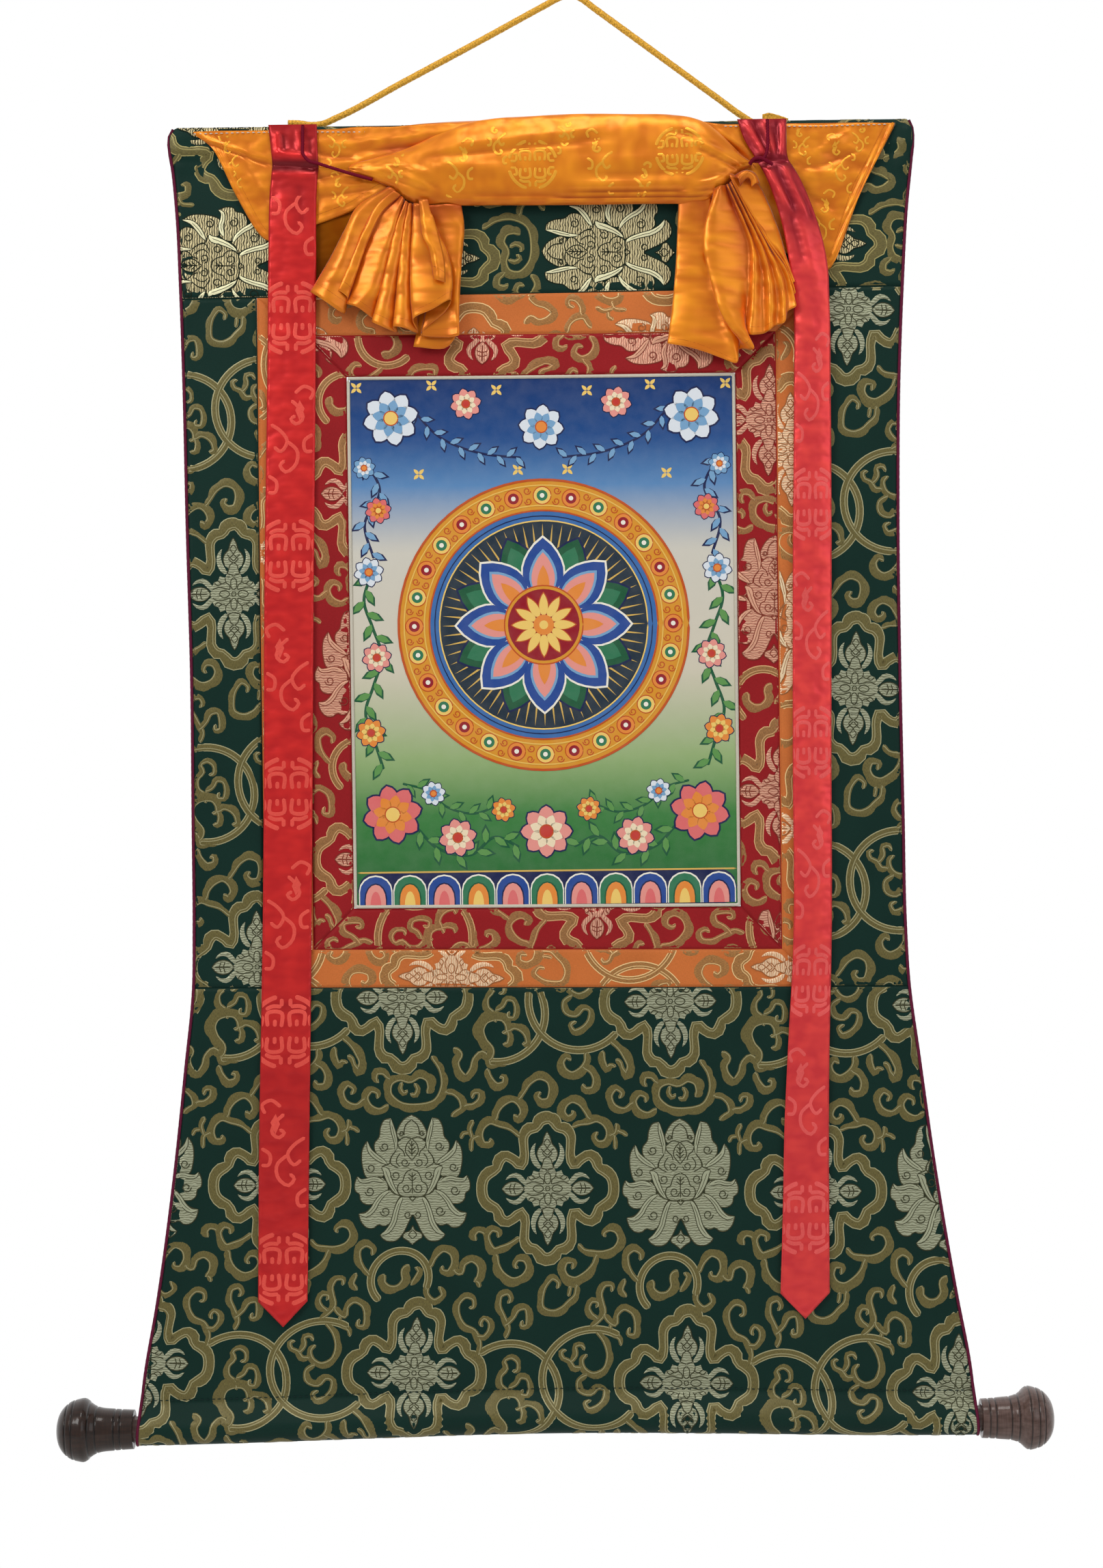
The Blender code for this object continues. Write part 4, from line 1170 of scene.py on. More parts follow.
palette = [tone(*c) for c in (
    (222, 150, 45), (238, 190, 90), (60, 110, 175), (38, 52, 66), (215, 175, 90), (50, 120, 85),
    (40, 75, 150),
    (226, 110, 110), (235, 140, 60), (150, 22, 40), (245, 205, 110), (225, 232, 240), (120, 165, 205),
    (235, 150, 140),
    (30, 90, 60), (95, 150, 80), (245, 225, 190), (200, 60, 50), (245, 240, 225), (25, 35, 80),
    (196, 84, 34))]
(gold, paleGold, sky, slate, ray, leaf, blue, pink, orange, crimson, yellow, white, mist, rose, darkLeaf,
 lightLeaf,
 cream, red, ivory, navy, rust) = range(len(palette))
pictureCentre = (-0.5, 294.0)
garlands = (  # half width of the stem, its and the leaves' colours, leaf size, gap, points of the right half
    (0.7, (navy, mist), 7, 5.5, ((76, 166), (60, 183), (36, 193), (12, 196))),
    (0.8, (navy, mist), 8, 6.5, ((104, 196), (95, 214), (104, 234), (99, 254))),
    (0.9, (darkLeaf, lightLeaf), 9, 7,
     [(100 + 5 * math.sin(k * math.pi / 2), 262 + 16.5 * k) for k in range(8)]),
    (0.9, (darkLeaf, lightLeaf), 9, 6.5, ((76, 412), (64, 424), (44, 428), (30, 418), (16, 424))),
    (0.7, (darkLeaf, lightLeaf), 7.5, 6, ((84, 386), (70, 390), (58, 400), (42, 404), (26, 398))),
)
flowers = (  # across and drop on the right half, size, colours of outer petals, inner petals and heart
    (88, 172, 16, white, mist, yellow), (104, 201, 6.5, mist, white, orange),
    (44, 164, 9, rose, cream, red),
    (96, 226, 7.5, pink, orange, yellow), (102, 262, 8.5, white, mist, orange),
    (98, 312, 8.5, rose, cream, red),
    (102, 356, 8.5, orange, yellow, red), (90, 404, 17, pink, orange, yellow),
    (52, 418, 11, rose, cream, red),
    (66, 392, 7, white, mist, orange), (25, 402, 7, orange, yellow, red),
)
stars = ((-108, 154), (-64, 153), (-26, 156), (27, 157), (64, 154), (108, 154), (-14, 203), (15, 203),
         (-72, 205), (73, 206))
arches = (  # colours in turn, half width, top, level
    ((ivory, ivory), 9.8, 439.5, 0.14), ((blue, leaf), 9.2, 440.4, 0.18),
    ((navy, darkLeaf), 6.6, 444.2, 0.22),
    ((rose, orange), 5.9, 445, 0.26), ((pink, yellow), 3.2, 449, 0.30),
)
groundTones = (  # drop and colour of the painted ground
    (0, 18, 44, 100), (150, 24, 56, 112), (185, 34, 78, 140), (212, 92, 138, 190), (250, 212, 208, 196),
    (320, 214, 206, 186), (372, 150, 178, 120), (405, 62, 128, 66), (470, 38, 96, 56),
)


def blob(points, colour, level):
    data, tris, kind = fillShape(points, level, 0, 1)
    data[:, 3] = colour
    return data, tris, kind


def turnedPoints(points, centre, angle):
    c, s = math.cos(angle), math.sin(angle)
    return [(centre[0] + x * c - y * s, centre[1] + x * s + y * c) for x, y in points]


def circlePoints(x, y, radius, angles):
    return [(x + radius * math.cos(a), y + radius * math.sin(a)) for a in angles]


def disc(x, y, radius, colour, level, sides=32):
    rings = max(1, round(radius / 7))
    angles = fullTurn(sides)
    radii = np.linspace(0.0, radius, rings + 1)[:, None]
    points = np.stack((x + radii * np.cos(angles), y + radii * np.sin(angles)), -1).reshape(-1, 2)
    quads = gridFaces(rings + 1, sides, True)
    tris = np.concatenate([quads[:, [0, 1, 2]], quads[:, [0, 2, 3]]])
    flags = np.ones((len(points), 3)) * (farIn, colour, level)
    return tidyShape(np.column_stack((points, flags)), tris, np.zeros(len(tris), int))


def petals(x, y, count, inner, outer, half, colour, level, start=0.0, point=0.25):
    # half width of a petal: half * sin(pi * t ** 0.8) ** (1 - point), t running from its root to its tip
    side = [(inner + (outer - inner) * t,
             half * math.sin(math.pi * t ** 0.8) ** (1 - point)) for t in np.linspace(0, 1, 9)]
    petal = side + [(r, -w) for r, w in side[-2:0:-1]]
    turns = [start + 2 * math.pi * k / count for k in range(count)]
    return [blob(turnedPoints(petal, (x, y), a), colour, level) for a in turns]


def line(points, half, colour, level, steps=20):
    data, tris, kind = strokeShape(withWidth(points, half), level, 0, 0, steps, 0.04)
    data[:, 3] = colour
    return data, tris, kind


def circle(x, y, radius, half, colour, level, steps=60):
    return line(circlePoints(x, y, radius, np.linspace(0, 2 * np.pi, 33)), half, colour, level, steps)


def flower(x, y, size, outerColour, innerColour, heart, start):
    return (petals(x, y, 8, size * 0.2, size * 1.07, size * 0.37, navy, 0.12, start, 0.45)
            + petals(x, y, 8, size * 0.2, size, size * 0.32, outerColour, 0.12 + 0.03, start, 0.45)
            + petals(x, y, 8, size * 0.15, size * 0.68, size * 0.2, innerColour, 0.12 + 0.07,
                     start + math.pi / 8)
            + [disc(x, y, size * 0.26, heart, 0.12 + 0.11, 16),
               circle(x, y, size * 0.26, 0.35, rust, 0.12 + 0.14, 24)])


def garland(points, stem, tones, size, gap):
    # a stem with leaves set to its two sides in turn, each leaf pale on a darker one
    level = 0.05
    count = max(3, round(pathLength(np.array(points, float)) / gap))
    rows = route(points, 4 * count + 1)
    made = [line(rows[::2].tolist(), stem, tones[0], level, 8 * count)]
    leafSide = ((0, 0), (0.25, 0.19), (0.6, 0.21), (1, 0), (0.6, -0.21), (0.25, -0.19))
    for k in range(2, len(rows) - 1, 4):
        dx, dy = rows[k + 1] - rows[k - 1]
        angle = math.atan2(dy, dx) + (0.8 if k % 8 == 2 else -0.8)
        for scale, colour, lift in ((1.25, tones[0], 0.02), (1.0, tones[1], 0.05)):
            leafShape = [(size * scale * px, size * scale * py) for px, py in leafSide]
            made.append(blob(turnedPoints(leafShape, rows[k], angle), colour, level + lift))
    return made


def medallion(x, y):
    made = [disc(x, y, 85, gold, 0.03, 72), disc(x, y, 66.5, sky, 0.06, 72),
            disc(x, y, 61, slate, 0.09, 72)]
    made += [circle(x, y, radius, half, colour, 0.2, 90) for radius, half, colour in (
        (85, 0.7, rust), (67, 0.5, rust), (61, 0.4, yellow), (81.8, 0.4, paleGold), (70, 0.4, paleGold),
        (63.8, 0.3, navy))]
    for k in range(28):
        a = 2 * math.pi * k / 28
        (px, py), = circlePoints(x, y, 75.8, [a])
        made += [disc(px, py, 5.2, (orange, yellow)[k % 2], 0.1, 20),
                 circle(px, py, 5.2, 0.3, rust, 0.12, 24),
                 disc(px, py, 3.2, (crimson, leaf)[k % 2], 0.13, 16), disc(px, py, 1.4, ivory, 0.16, 10)]
        a += math.pi / 28
        for radius, turn in ((79.0, 1), (72.8, -1)):
            (px, py), = circlePoints(x, y, radius, [a])
            made.append(line(spiral(px, py, 2.3, turn), 0.34, rust, 0.1, 14))
    made += petals(x, y, 64, 34, 59.5, 0.55, ray, 0.13)
    for colour, outer, half, level in ((navy, 55.5, 12.8, 0.15), (darkLeaf, 54, 11.8, 0.17),
                                       (leaf, 49, 8.6, 0.19)):
        made += petals(x, y, 8, 16, outer, half, colour, level, math.pi / 8)
    for colour, outer, half, level in ((ivory, 52.5, 13.0, 0.21), (blue, 51, 12, 0.24),
                                       (mist, 44.5, 8.2, 0.27),
                                       (rose, 42.5, 6.9, 0.30), (orange, 35, 3.6, 0.33)):
        made += petals(x, y, 8, 16, outer, half, colour, level)
    made += [disc(x, y, 23, gold, 0.35, 40), disc(x, y, 21, crimson, 0.37, 40),
             circle(x, y, 23, 0.4, rust, 0.38, 60)]
    made += petals(x, y, 12, 5, 19.5, 3.1, rust, 0.39) + petals(x, y, 12, 5, 18.5, 2.6, yellow, 0.42)
    return made + [disc(x, y, 6, orange, 0.45, 20), disc(x, y, 2.6, yellow, 0.48, 14)]


def pictureShapes():
    x, y = pictureCentre
    made = medallion(x, y)
    for side in (-1, 1):
        for stem, tones, size, gap, points in garlands:
            made += garland([(x + side * px, py) for px, py in points], stem, tones, size, gap)
        for px, py, size, *colours in flowers:
            made += flower(x + side * px, py, size, *colours, 0.2 * side)
    made += flower(x, 415, 15, rose, cream, red, 0.0) + flower(x, 178, 13, white, mist, orange, 0.1)
    for drop, half, colour, level in ((448.5, 10.4, navy, 0.05), (438.0, 0.5, ray, 0.12)):
        made.append(line([(x + px, drop) for px in (-111, -40, 40, 111)], half, colour, level, 60))
    for k in range(11):
        cx = x + 20.1 * (k - 5)
        for colours, half, top, level in arches:
            arch = [(cx + half * math.cos(a), top + 9 - 9 * math.sin(a)) for a in np.linspace(0, math.pi,
                                                                                              9)]
            made.append(blob([(cx - half, 457.6)] + arch[::-1] + [(cx + half, 457.6)], colours[k % 2],
                             level))
    for px, py in stars:
        made += petals(x + px, py, 4, 0.3, 4.2, 1.0, yellow, 0.05, math.pi / 4)
    return joinShapes(made)


def pigmentPaint():
    paint = Paint("pigment", roughness=0.72, specular_ior_level=0.15)
    cloth = paint.attribute("cloth", "Vector")
    grain, cloudy = paint.noise(cloth, 2.2, 3.0), paint.noise(cloth, 0.12, 3.0)
    wear = paint.ramp(cloudy * 0.7 + grain * 0.3, 0.3, 0.8)
    return paint.finish(paint.mix(wear * 0.05, paint.attribute("paint", "Color"), (0.9, 0.88, 0.8)), grain,
                        0.12)


def makePicture():
    corners = picture + np.array(((1, 1), (-1, 1), (1, -1), (-1, -1))) * 0.9
    insides = quadInsides(corners)
    across, drop = quadPoints(corners, shares(40, 225), shares(62, 310))
    stops = [row[0] for row in groundTones]
    tones = np.array([tone(*row[1:]) for row in groundTones])
    ground = np.stack([np.interp(drop.ravel(), stops, column) for column in tones.T], -1)
    colours = np.column_stack((ground, np.ones(len(ground))))
    # the canvas stays flat up to its piping, so its edge is too far off to roll
    lay = flatLay([within(inside, -9.0) for inside in insides])
    pigment = pigmentPaint()
    cotton = clothPaint("cottonBack", (0.55, 0.50, 0.40), 0.8, 0.0, 0.08)
    mesh = gridMesh("picture_canvas", lay(across, drop, 0.0), np.stack((across, drop), -1), colours)
    canvas = addPiece("picture_cloth", mesh, [pigment, cotton], "painted_canvas", ["picture_canvas"],
                      thick=2 * sheetHalf)
    canvas.modifiers["thickness"].material_offset = 1  # the unpainted back
    data, tris, kinds = clipped(*withPlace([pictureShapes()]), insides)[0]
    pigments = np.array(palette)[np.rint(data[:, 3]).astype(int)]
    ones = np.ones(len(data))
    mesh = newMesh("picture_design", lay(data[:, 0], data[:, 1], data[:, 4]), [tris],
                   {"cloth": np.column_stack((data[:, 5:7], 0 * ones))}, np.column_stack((pigments, ones)))
    design = addPiece("picture_design", mesh, [pigment], "painted_canvas")


makePicture()

print("stage: pipings")


def twistedTube(name, path, radius, paint, slotName, replaces, pitch, closed=False, depth=0.12, sides=12):
    along = np.linspace(0, pathLength(path) / mm, len(path))[:, None]
    # radius * (1 - depth * (1 - |sin| of two strands that wind once in each pitch))
    wound = np.abs(np.sin(2 * (fullTurn(sides) - 2 * np.pi * along / pitch) / 2))
    radii = radius * mm * (1 - depth * (1 - wound))
    return addPiece(name, tubeMesh(name, tubePoints(path, radii, sides), closed), [paint], slotName,
                    replaces)


pipingIn, pipingTop = 0.9, -2.5


def edgePath(side):
    # down an edge of the cloth, a little inside it, and round the dowel
    edge, radius = (leftEdge if side < 0 else rightEdge), sectionLow["radius"]
    drop = np.concatenate([[1.6, 6, 10.5, 14.5], np.linspace(17, 740, 480)])
    across = edge(drop) - side * pipingIn
    depth = front + cockle(across, drop) + (pipingTop - front) * (1 - ease((drop - 14) / 14))
    arc = np.linspace(sleeveTurn, math.radians(165), 30)
    low = dowelDrop(across[-1:]) - radius * np.cos(arc)
    parts = ((across, edge(np.clip(low, 0, clothEnd)) - side * pipingIn),
             (np.where(drop < 17, pipingTop, depth), -radius * np.sin(arc)), (drop, low))
    return place(*(np.concatenate(part) for part in parts))


def makePipings():
    magenta = clothPaint("magenta", (0.13, 0.010, 0.038), 0.6, 0.0, 0.25, 2.0)
    for node, side in (("left_edge_piping", -1), ("right_edge_piping", 1)):
        twistedTube(node + "_cord", edgePath(side), 0.95, magenta, "piping_magenta", [node], 8.0, sides=10)
    white = clothPaint("ivory", (0.62, 0.58, 0.48), 0.75, 0.0, 0.15, 2.0)
    corners = picture[[0, 1, 3, 2]]
    steps = np.linspace(0, 1, 120, endpoint=False)[:, None]
    sides = [a + (b - a) * steps for a, b in zip(corners, np.roll(corners, -1, axis=0), strict=True)]
    across, drop = np.concatenate(sides).T
    path = place(across, front + cockle(across, drop) - 0.35, drop)
    twistedTube("picture_cord", path, 1.0, white, "piping_white", ["picture_piping"], 3.0, closed=True,
                depth=0.08)


makePipings()

print("stage: veil")
# colour is the silk's own; deep is the painted shade of its hollows, and the colour for the inside of the swag is
# the same silk darkened as painted shade
silkSettings = {"colour": (0.94, 0.245, 0.006), "deep": (0.44, 0.052, 0.001), "figure": (0.99, 0.42, 0.04),
                "insideShaded": (0.38, 0.088, 0.002),
                "base": -6.4, "thick": 0.45}
silkHalf = 0.28  # half the silk with a hair's room under what is woven
# fold lines from root to hem: across and drop of five points, then how far forward at root and at hem
leftFolds = (
    (-86.8, 39.3, -102.3, 51.9, -109.8, 66.5, -118.6, 83.6, -129.2, 100.6, 0, 0),
    (-88, 38.4, -105.3, 48.8, -113.4, 62.8, -122.9, 80.4, -133.9, 98.7, 2, 2),
    (-86.2, 38.7, -102.3, 50.7, -109.8, 66.5, -116.2, 83.6, -126.2, 104.3, 4, 7),
    (-83.8, 39.9, -96.2, 54.5, -103.7, 70.3, -110.1, 87.3, -115.9, 111.1, 3, 3),
    (-82.6, 41.8, -95, 56.9, -102.6, 75.2, -109.5, 92.2, -113.8, 109.9, 1, 0.5),
    (-84.4, 40.5, -94.9, 49.6, -102.4, 64.2, -110, 81.2, -117.8, 99.2, 4, 5),
    (-80.7, 43, -91.3, 52.1, -99.4, 67.9, -105.8, 84.9, -112.4, 102.2, 4, 5),
    (-81.4, 43.6, -92.5, 54.5, -100.7, 70.3, -107, 87.4, -113, 105.1, 2, 1),
    (-80.1, 43.7, -88.3, 57, -96.5, 75.3, -104, 91.1, -112.2, 106.3, 3, 3),
    (-78.9, 44.9, -85.3, 62, -91.6, 81.5, -98, 98.5, -106.1, 108.8, 4, 6),
    (-78.3, 46.1, -83.5, 64.4, -88, 84, -93.1, 101, -98.2, 114.4, 2, 2),
    (-77.7, 47.4, -82.3, 65.7, -86.2, 85.2, -90.7, 102.3, -96.4, 115.1, 1, 0.5),
    (-77.7, 46.7, -84.1, 63.2, -88.6, 81.5, -93.1, 98.6, -98.2, 116.9, 4, 4),
    (-76.5, 47.4, -80.4, 64.5, -84.3, 84, -88.2, 101.1, -92.1, 120, 4, 6),
    (-75.9, 48, -78, 65.7, -80.7, 86.5, -83.4, 103.6, -83.9, 122.9, 2, 1),
    (-75.9, 48, -79.2, 64.5, -81.9, 84, -83.6, 101.2, -86, 120.2, 4, 5),
    (-74.7, 48, -76.1, 65.7, -78, 86.5, -78.7, 103.7, -79.3, 121, 4, 7),
    (-72.8, 48.6, -72.5, 67, -73.1, 86.6, -72.7, 103.7, -71.4, 123.4, 2, 2),
    (-72.8, 48.4, -74.1, 67, -75.2, 86.6, -75, 103.7, -74, 116, 5, 8),
    (-69.8, 48.7, -68.2, 67.1, -66, 84.2, -63.7, 99, -62.6, 111, 6, 11),
    (-66.7, 48.7, -60.8, 64.7, -54.9, 77, -51.6, 91.8, -52.3, 105.2, 5, 9),
    (-65.5, 48.7, -59.6, 64.7, -55.5, 79.5, -53.9, 95.4, -55.9, 111.9, 3, 5),
    (-69.2, 48.7, -65.8, 69.6, -64.8, 89.2, -66.3, 107.5, -69.9, 124.1, 2, 3),
    (-61.8, 49, -56.6, 67.2, -54.8, 89.3, -54.3, 107.7, -55.5, 126.3, 3, 3),
    (-54.5, 48.9, -47.9, 62.4, -48.2, 83.3, -49.1, 105.3, -48.1, 125.6, 4, 5),
    (-45.9, 48.4, -44, 62.5, -45.7, 82.1, -47.3, 105.3, -48.7, 124.3, 2, 3),
    (-48.4, 48.4, -46.7, 64.9, -48.8, 84.5, -52.2, 107.7, -56.4, 132.1, 0, 0),
    (-60.6, 48.2, -62.1, 67.2, -64.8, 89.2, -70, 111.1, -74.5, 131, 0, 0),
)
rightFolds = (
    (83.5, 45, 82.6, 78.9, 80.8, 101.4, 79, 118.2, 77.5, 130.7, 0, 0),
    (81.8, 45, 80, 78.9, 78.1, 101.3, 75.9, 118.1, 74, 131.3, 1.5, 2),
    (88, 45, 87.6, 79, 86.8, 101.4, 85.4, 118.2, 83.8, 133.5, 3, 4),
    (92.5, 45, 94.4, 79.1, 95.2, 101.5, 95.5, 121.7, 94.7, 136.6, 3, 3),
    (95.8, 44, 97.7, 81.4, 100.7, 107.2, 104.9, 127.5, 105.9, 141, 3, 3.5),
    (99, 42, 101, 83.7, 106.3, 112.9, 111.6, 130.9, 113.9, 143.8, 3, 5),
    (100.3, 41, 104.5, 79.2, 110.8, 107.4, 115.1, 124.2, 115.5, 135.5, 2, 2),
    (102.6, 42, 95.4, 70.1, 98.6, 93.7, 106.2, 118.5, 121.7, 137.1, 6, 9),
    (105.2, 41, 100.1, 70.2, 103.4, 93.8, 110.1, 116.3, 123.5, 135.6, 8, 11),
    (107.6, 40.5, 110.2, 68.1, 113.3, 90.6, 115.8, 110.8, 120.6, 128.8, 6, 7),
    (108.7, 40, 120.3, 72.7, 120.9, 90.7, 120.4, 107.5, 118.7, 126, 4, 3),
    (109.3, 40, 122.5, 71.6, 124.5, 90.7, 123.7, 108.6, 122, 127.9, 7, 7),
    (110.4, 39.5, 125.3, 75, 129, 90.8, 129.3, 108.7, 129.4, 126.9, 5, 4),
    (111, 39, 127, 72.8, 132.4, 90.8, 133.8, 108.8, 133.3, 125, 8, 8),
    (111.6, 38.5, 128.7, 73.9, 135.2, 90.8, 137.8, 106.6, 137.3, 122.3, 6, 5),
    (112.2, 38, 130.3, 73.4, 138, 90.9, 141.2, 104.4, 141.7, 121, 8, 8),
    (112.7, 37.5, 132.6, 75.1, 140.2, 89.8, 143.4, 101, 143.6, 114.5, 6, 5),
    (111.8, 37, 133.7, 76.2, 141.9, 88.7, 145.7, 98.8, 148.6, 111.4, 8, 7),
    (112.4, 36.5, 133.7, 75.1, 142.5, 87.6, 145.2, 97.7, 145.1, 105.6, 6, 4),
    (111, 36, 132.6, 72.8, 141.4, 85.3, 146.3, 96.6, 148.4, 103.6, 8, 6),
    (111.9, 35.5, 133.7, 70.6, 141.4, 83.1, 144.7, 93.2, 144.6, 98.8, 6, 4),
    (110.4, 34, 129.3, 67.2, 139.3, 78.5, 144.7, 88.7, 147.8, 97.2, 8, 5),
    (116.3, 34.5, 131.7, 52.6, 138.8, 67.3, 143.2, 80.8, 147.5, 94.9, 5, 2),
    (123, 31.2, 130.7, 43.6, 138.9, 63.9, 143.2, 79.7, 146.3, 94.4, 1, 0),
)
stripFolds = (
    (-69.8, 47, -68.9, 59, -68, 68.3, -64, 76.9, -61.6, 93.9, 9, 12),
    (-67.4, 47, -66.5, 58, -65, 67, -60.6, 78.5, -58.6, 94.9, 10, 14),
    (-64.5, 47, -62.9, 54.5, -60.7, 59.8, -55.5, 81.9, -54.9, 95.7, 9, 12),
)
knotFolds = (
    (113.5, 35.5, 117.5, 33, 121.5, 32, 126, 33.8, 128.6, 39.5, 6, 3),
    (115.8, 38, 118.5, 34.5, 121.8, 33.6, 124.6, 35.4, 126, 40, 9, 6),
    (117, 41.5, 119.5, 38, 121.8, 36.6, 123.2, 38.2, 123.6, 41.5, 7, 5),
)
bandTable = np.array((  # across, its upper edge, its lowest fold, how far it stands forward
    (-110.8, 25.4, 26.8, 1.2), (-108, 23.7, 29, 3), (-103, 22.4, 31, 4.5), (-97, 21.2, 33.2, 5.6),
    (-90, 19.4, 36.4, 6.6), (-84, 17.8, 40, 7.6), (-79, 16.4, 44.6, 8.4), (-73, 14.2, 47.8, 9.2),
    (-60, 8.2, 49, 9.8), (-45, 2.2, 49.6, 9.6), (-27, -1, 49.7, 9.3), (-5, -2.2, 49.9, 9),
    (20, -3.2, 50, 8.8), (55, -2.7, 50, 9.2), (78, -1.9, 50.2, 9.8), (90, 0, 50.4, 10.2),
    (97.6, 3, 49, 10.2),
    (105, 8.5, 43.8, 9.4), (112, 15.3, 36.8, 7.6), (118, 21.3, 31.2, 5.6), (124.4, 26, 27.4, 3.2),
))
# forward and down shares round the band, from its back over the top, the front and the underside
bandSection = np.array((
    (0, 0.16), (0.1, 0.05), (0.3, 0), (0.55, 0.03), (0.8, 0.14), (0.95, 0.32), (1, 0.54), (0.94, 0.74),
    (0.82, 0.9), (0.58, 0.985), (0.36, 0.97), (0.18, 0.88), (0.08, 0.7), (0.02, 0.5),
))
bandCreases = (  # height, width, from, to
    (1.3, 2.4, 22, 39.5, 97, 39), (-1.7, 1, 22, 42.4, 99, 42.6), (1.2, 1.1, 20, 44.2, 100, 44.6),
    (-1.5, 0.8, 10, 45.8, 97, 46), (1, 0.8, 10, 47.3, 96, 47.5), (1.5, 3.6, -60, 27, -20, 30),
    (-1.2, 1.7, -62, 22, 40, 12), (1.2, 2.6, -52, 15.5, 30, 7), (1.4, 4.5, -95, 27, -66, 36),
    (-1, 1.5, -92, 31, -64, 42), (1.2, 1.6, -88, 25, -62, 32), (-0.9, 1.2, -80, 28.5, -58, 40),
    (1.5, 2.4, 92, 14, 118, 28.5), (-1.6, 1.4, 92, 18.5, 116, 30.5), (-1.1, 1.6, 78, 8.5, 106, 17.5),
    (0.8, 3, 20, 26, 80, 24), (-0.9, 2.2, 30, 33.5, 92, 31.5), (1, 2, 84, 44, 106, 36),
    (-1, 1.3, 86, 40, 108, 33), (0.7, 6, -20, 36, 30, 38), (-0.8, 2, -40, 44.5, 20, 44),
    (0.9, 1.4, -50, 46, 10, 46.5),
)
flatTable = np.array((  # across, its upper edge, its loose edge, how far the swag lifts it
    (-201.5, 3.6, 4.6, 0), (-190, 3, 14, 0), (-177, 3, 41, 0), (-160.5, 3, 66.5, 0), (-145, 3, 63, 0),
    (-130, 3, 58.2, 0), (-118.2, 2.8, 54.2, 0.1), (-108.4, 2, 50.4, 0.5), (-97.3, 2, 43.4, 1.2),
    (-86, 2.4, 38, 2), (-68, 1.2, 36, 3.4), (-35, -0.6, 36, 5), (10, -2, 36, 5.4), (55, -1.6, 36, 5),
    (84, -0.5, 38, 4), (98, 2, 42, 2), (107, 3, 46, 0.8), (115, 3, 49, 0), (126, 3, 54, 0), (140, 3, 74, 0),
    (156, 3, 86, 0), (169, 3, 88.5, 0), (187.5, 3, 45.3, 0), (208.5, 3.6, 4.6, 0),
))
flatCreases = (
    (1.1, 1.8, -192, 9.5, -160, 20), (-1.6, 1.1, -197, 9.2, -156, 23.2), (0.7, 3, -180, 26, -158, 38),
    (-0.5, 2, -172, 20, -158, 46), (0.8, 2, -130, 10, -100, 12.5), (-1, 1.4, -131, 16, -104, 22),
    (1.4, 2.4, -130, 26, -98, 20), (-1.2, 1.5, -130, 31, -104, 27), (1, 2, -130, 37, -92, 36),
    (-0.8, 1.6, -130, 43, -98, 38), (0.9, 2.6, -128, 50, -100, 42), (-1.1, 1.8, -100, 16, -50, 12),
    (1.2, 2.2, -104, 11, -40, 5), (1.6, 2.2, 148, 26.5, 182, 9), (-1.4, 1.4, 146, 29.5, 168, 14.5),
    (1.3, 2, 148, 31, 176, 33), (-1.2, 1.5, 146, 33.5, 186, 20), (-0.9, 2, 150, 40, 172, 52),
    (0.9, 2.5, 156, 52, 176, 60), (1.1, 2, 104, 6, 124, 20), (-1.2, 1.6, 108, 12, 126, 27),
    (0.7, 2, 160, 8, 192, 22), (-0.6, 2.4, 170, 22, 190, 30),
)


farHem = 99.0  # stands for far from any hem


def gridOf(across, drop, depth, dark, hem=None, cloth=None):
    # points, place on the cloth, how much painted shade, and how far from the hem
    cloth = np.stack(np.broadcast_arrays(*(cloth or (across, drop))), -1)
    return place(across, depth, drop), cloth, dark, np.full(drop.shape, farHem) if hem is None else hem


def bandEdge(across, k):
    return columnAt(bandTable, k, np.clip(across, bandTable[0, 0], bandTable[-1, 0]))


def bandDepth(across, drop, forward, wrinkle):
    bulge = columnAt(bandTable, 3, across) * forward
    return coveringDepth(across, np.maximum(drop, 0)) - 1.4 - bulge - wrinkle


def flatDepth(across, drop, wrinkle):
    raised = columnAt(flatTable, 3, across) * ease(drop / 4 + 0.5) * (1 - ease((drop - 8) / 34))
    return coveringDepth(across, np.maximum(drop, 0)) - 1.2 - raised - wrinkle


def bandGrid(columns, rows):
    ends = 0.5 - 0.5 * np.cos(np.linspace(0, np.pi, columns))
    start, end = bandTable[0, 0], bandTable[-1, 0]
    across = start + (end - start) * (0.5 * ends + 0.5 * np.linspace(0, 1, columns))
    at = np.linspace(0, len(bandSection) - 1, rows)
    forward, down = (smooth(np.arange(len(bandSection)), column, at)[:, None] for column in bandSection.T)
    top, low = (columnAt(bandTable, k, across) for k in (1, 2))
    drop = top + (low - top) * down
    wrinkle = creases(across, drop, bandCreases) * ease(forward * 1.6)
    # painted shade: darker on the band's underside and back, and in the hollows of its creases
    dark = np.clip(0.45 * ease((down - 0.72) / 0.28) + 0.5 * (1 - ease(forward / 0.4)) - 0.34 * wrinkle, 0,
                   1)
    return gridOf(across, drop, bandDepth(across, drop, forward, wrinkle), dark,
                  cloth=(across, at[:, None] * 5.0))


def flatGrid(columns, rows):
    across = np.linspace(flatTable[0, 0], flatTable[-1, 0], columns)
    high, loose = (columnAt(flatTable, k, across) for k in (1, 2))
    drop = high + (loose - high) * np.linspace(0, 1, rows)[:, None]
    wrinkle = creases(across, drop, flatCreases)
    near = (loose - drop) * np.cos(np.arctan(np.abs(np.gradient(loose, across))))
    pucker = 0.5 * np.sin(across * 1.9 + drop * 0.9) * np.exp(-(near / 4.0) ** 2) * ease((across - 150) / 20)
    depth = flatDepth(across, drop, wrinkle) - pucker - 0.9 * np.exp(-((near - 1.5) / 1.6) ** 2)
    # painted shade: darker in the hollows of creases and puckers, and on the cloth behind the band, which the
    # band shades
    behind = ease((across + 100) / 20) * ease((128 - across) / 14)
    dark = np.clip(0.16 - 0.3 * wrinkle - 0.5 * pucker + 0.4 * behind * ease((drop - 4) / 12), 0, 1)
    return gridOf(across, drop, depth, dark, near)


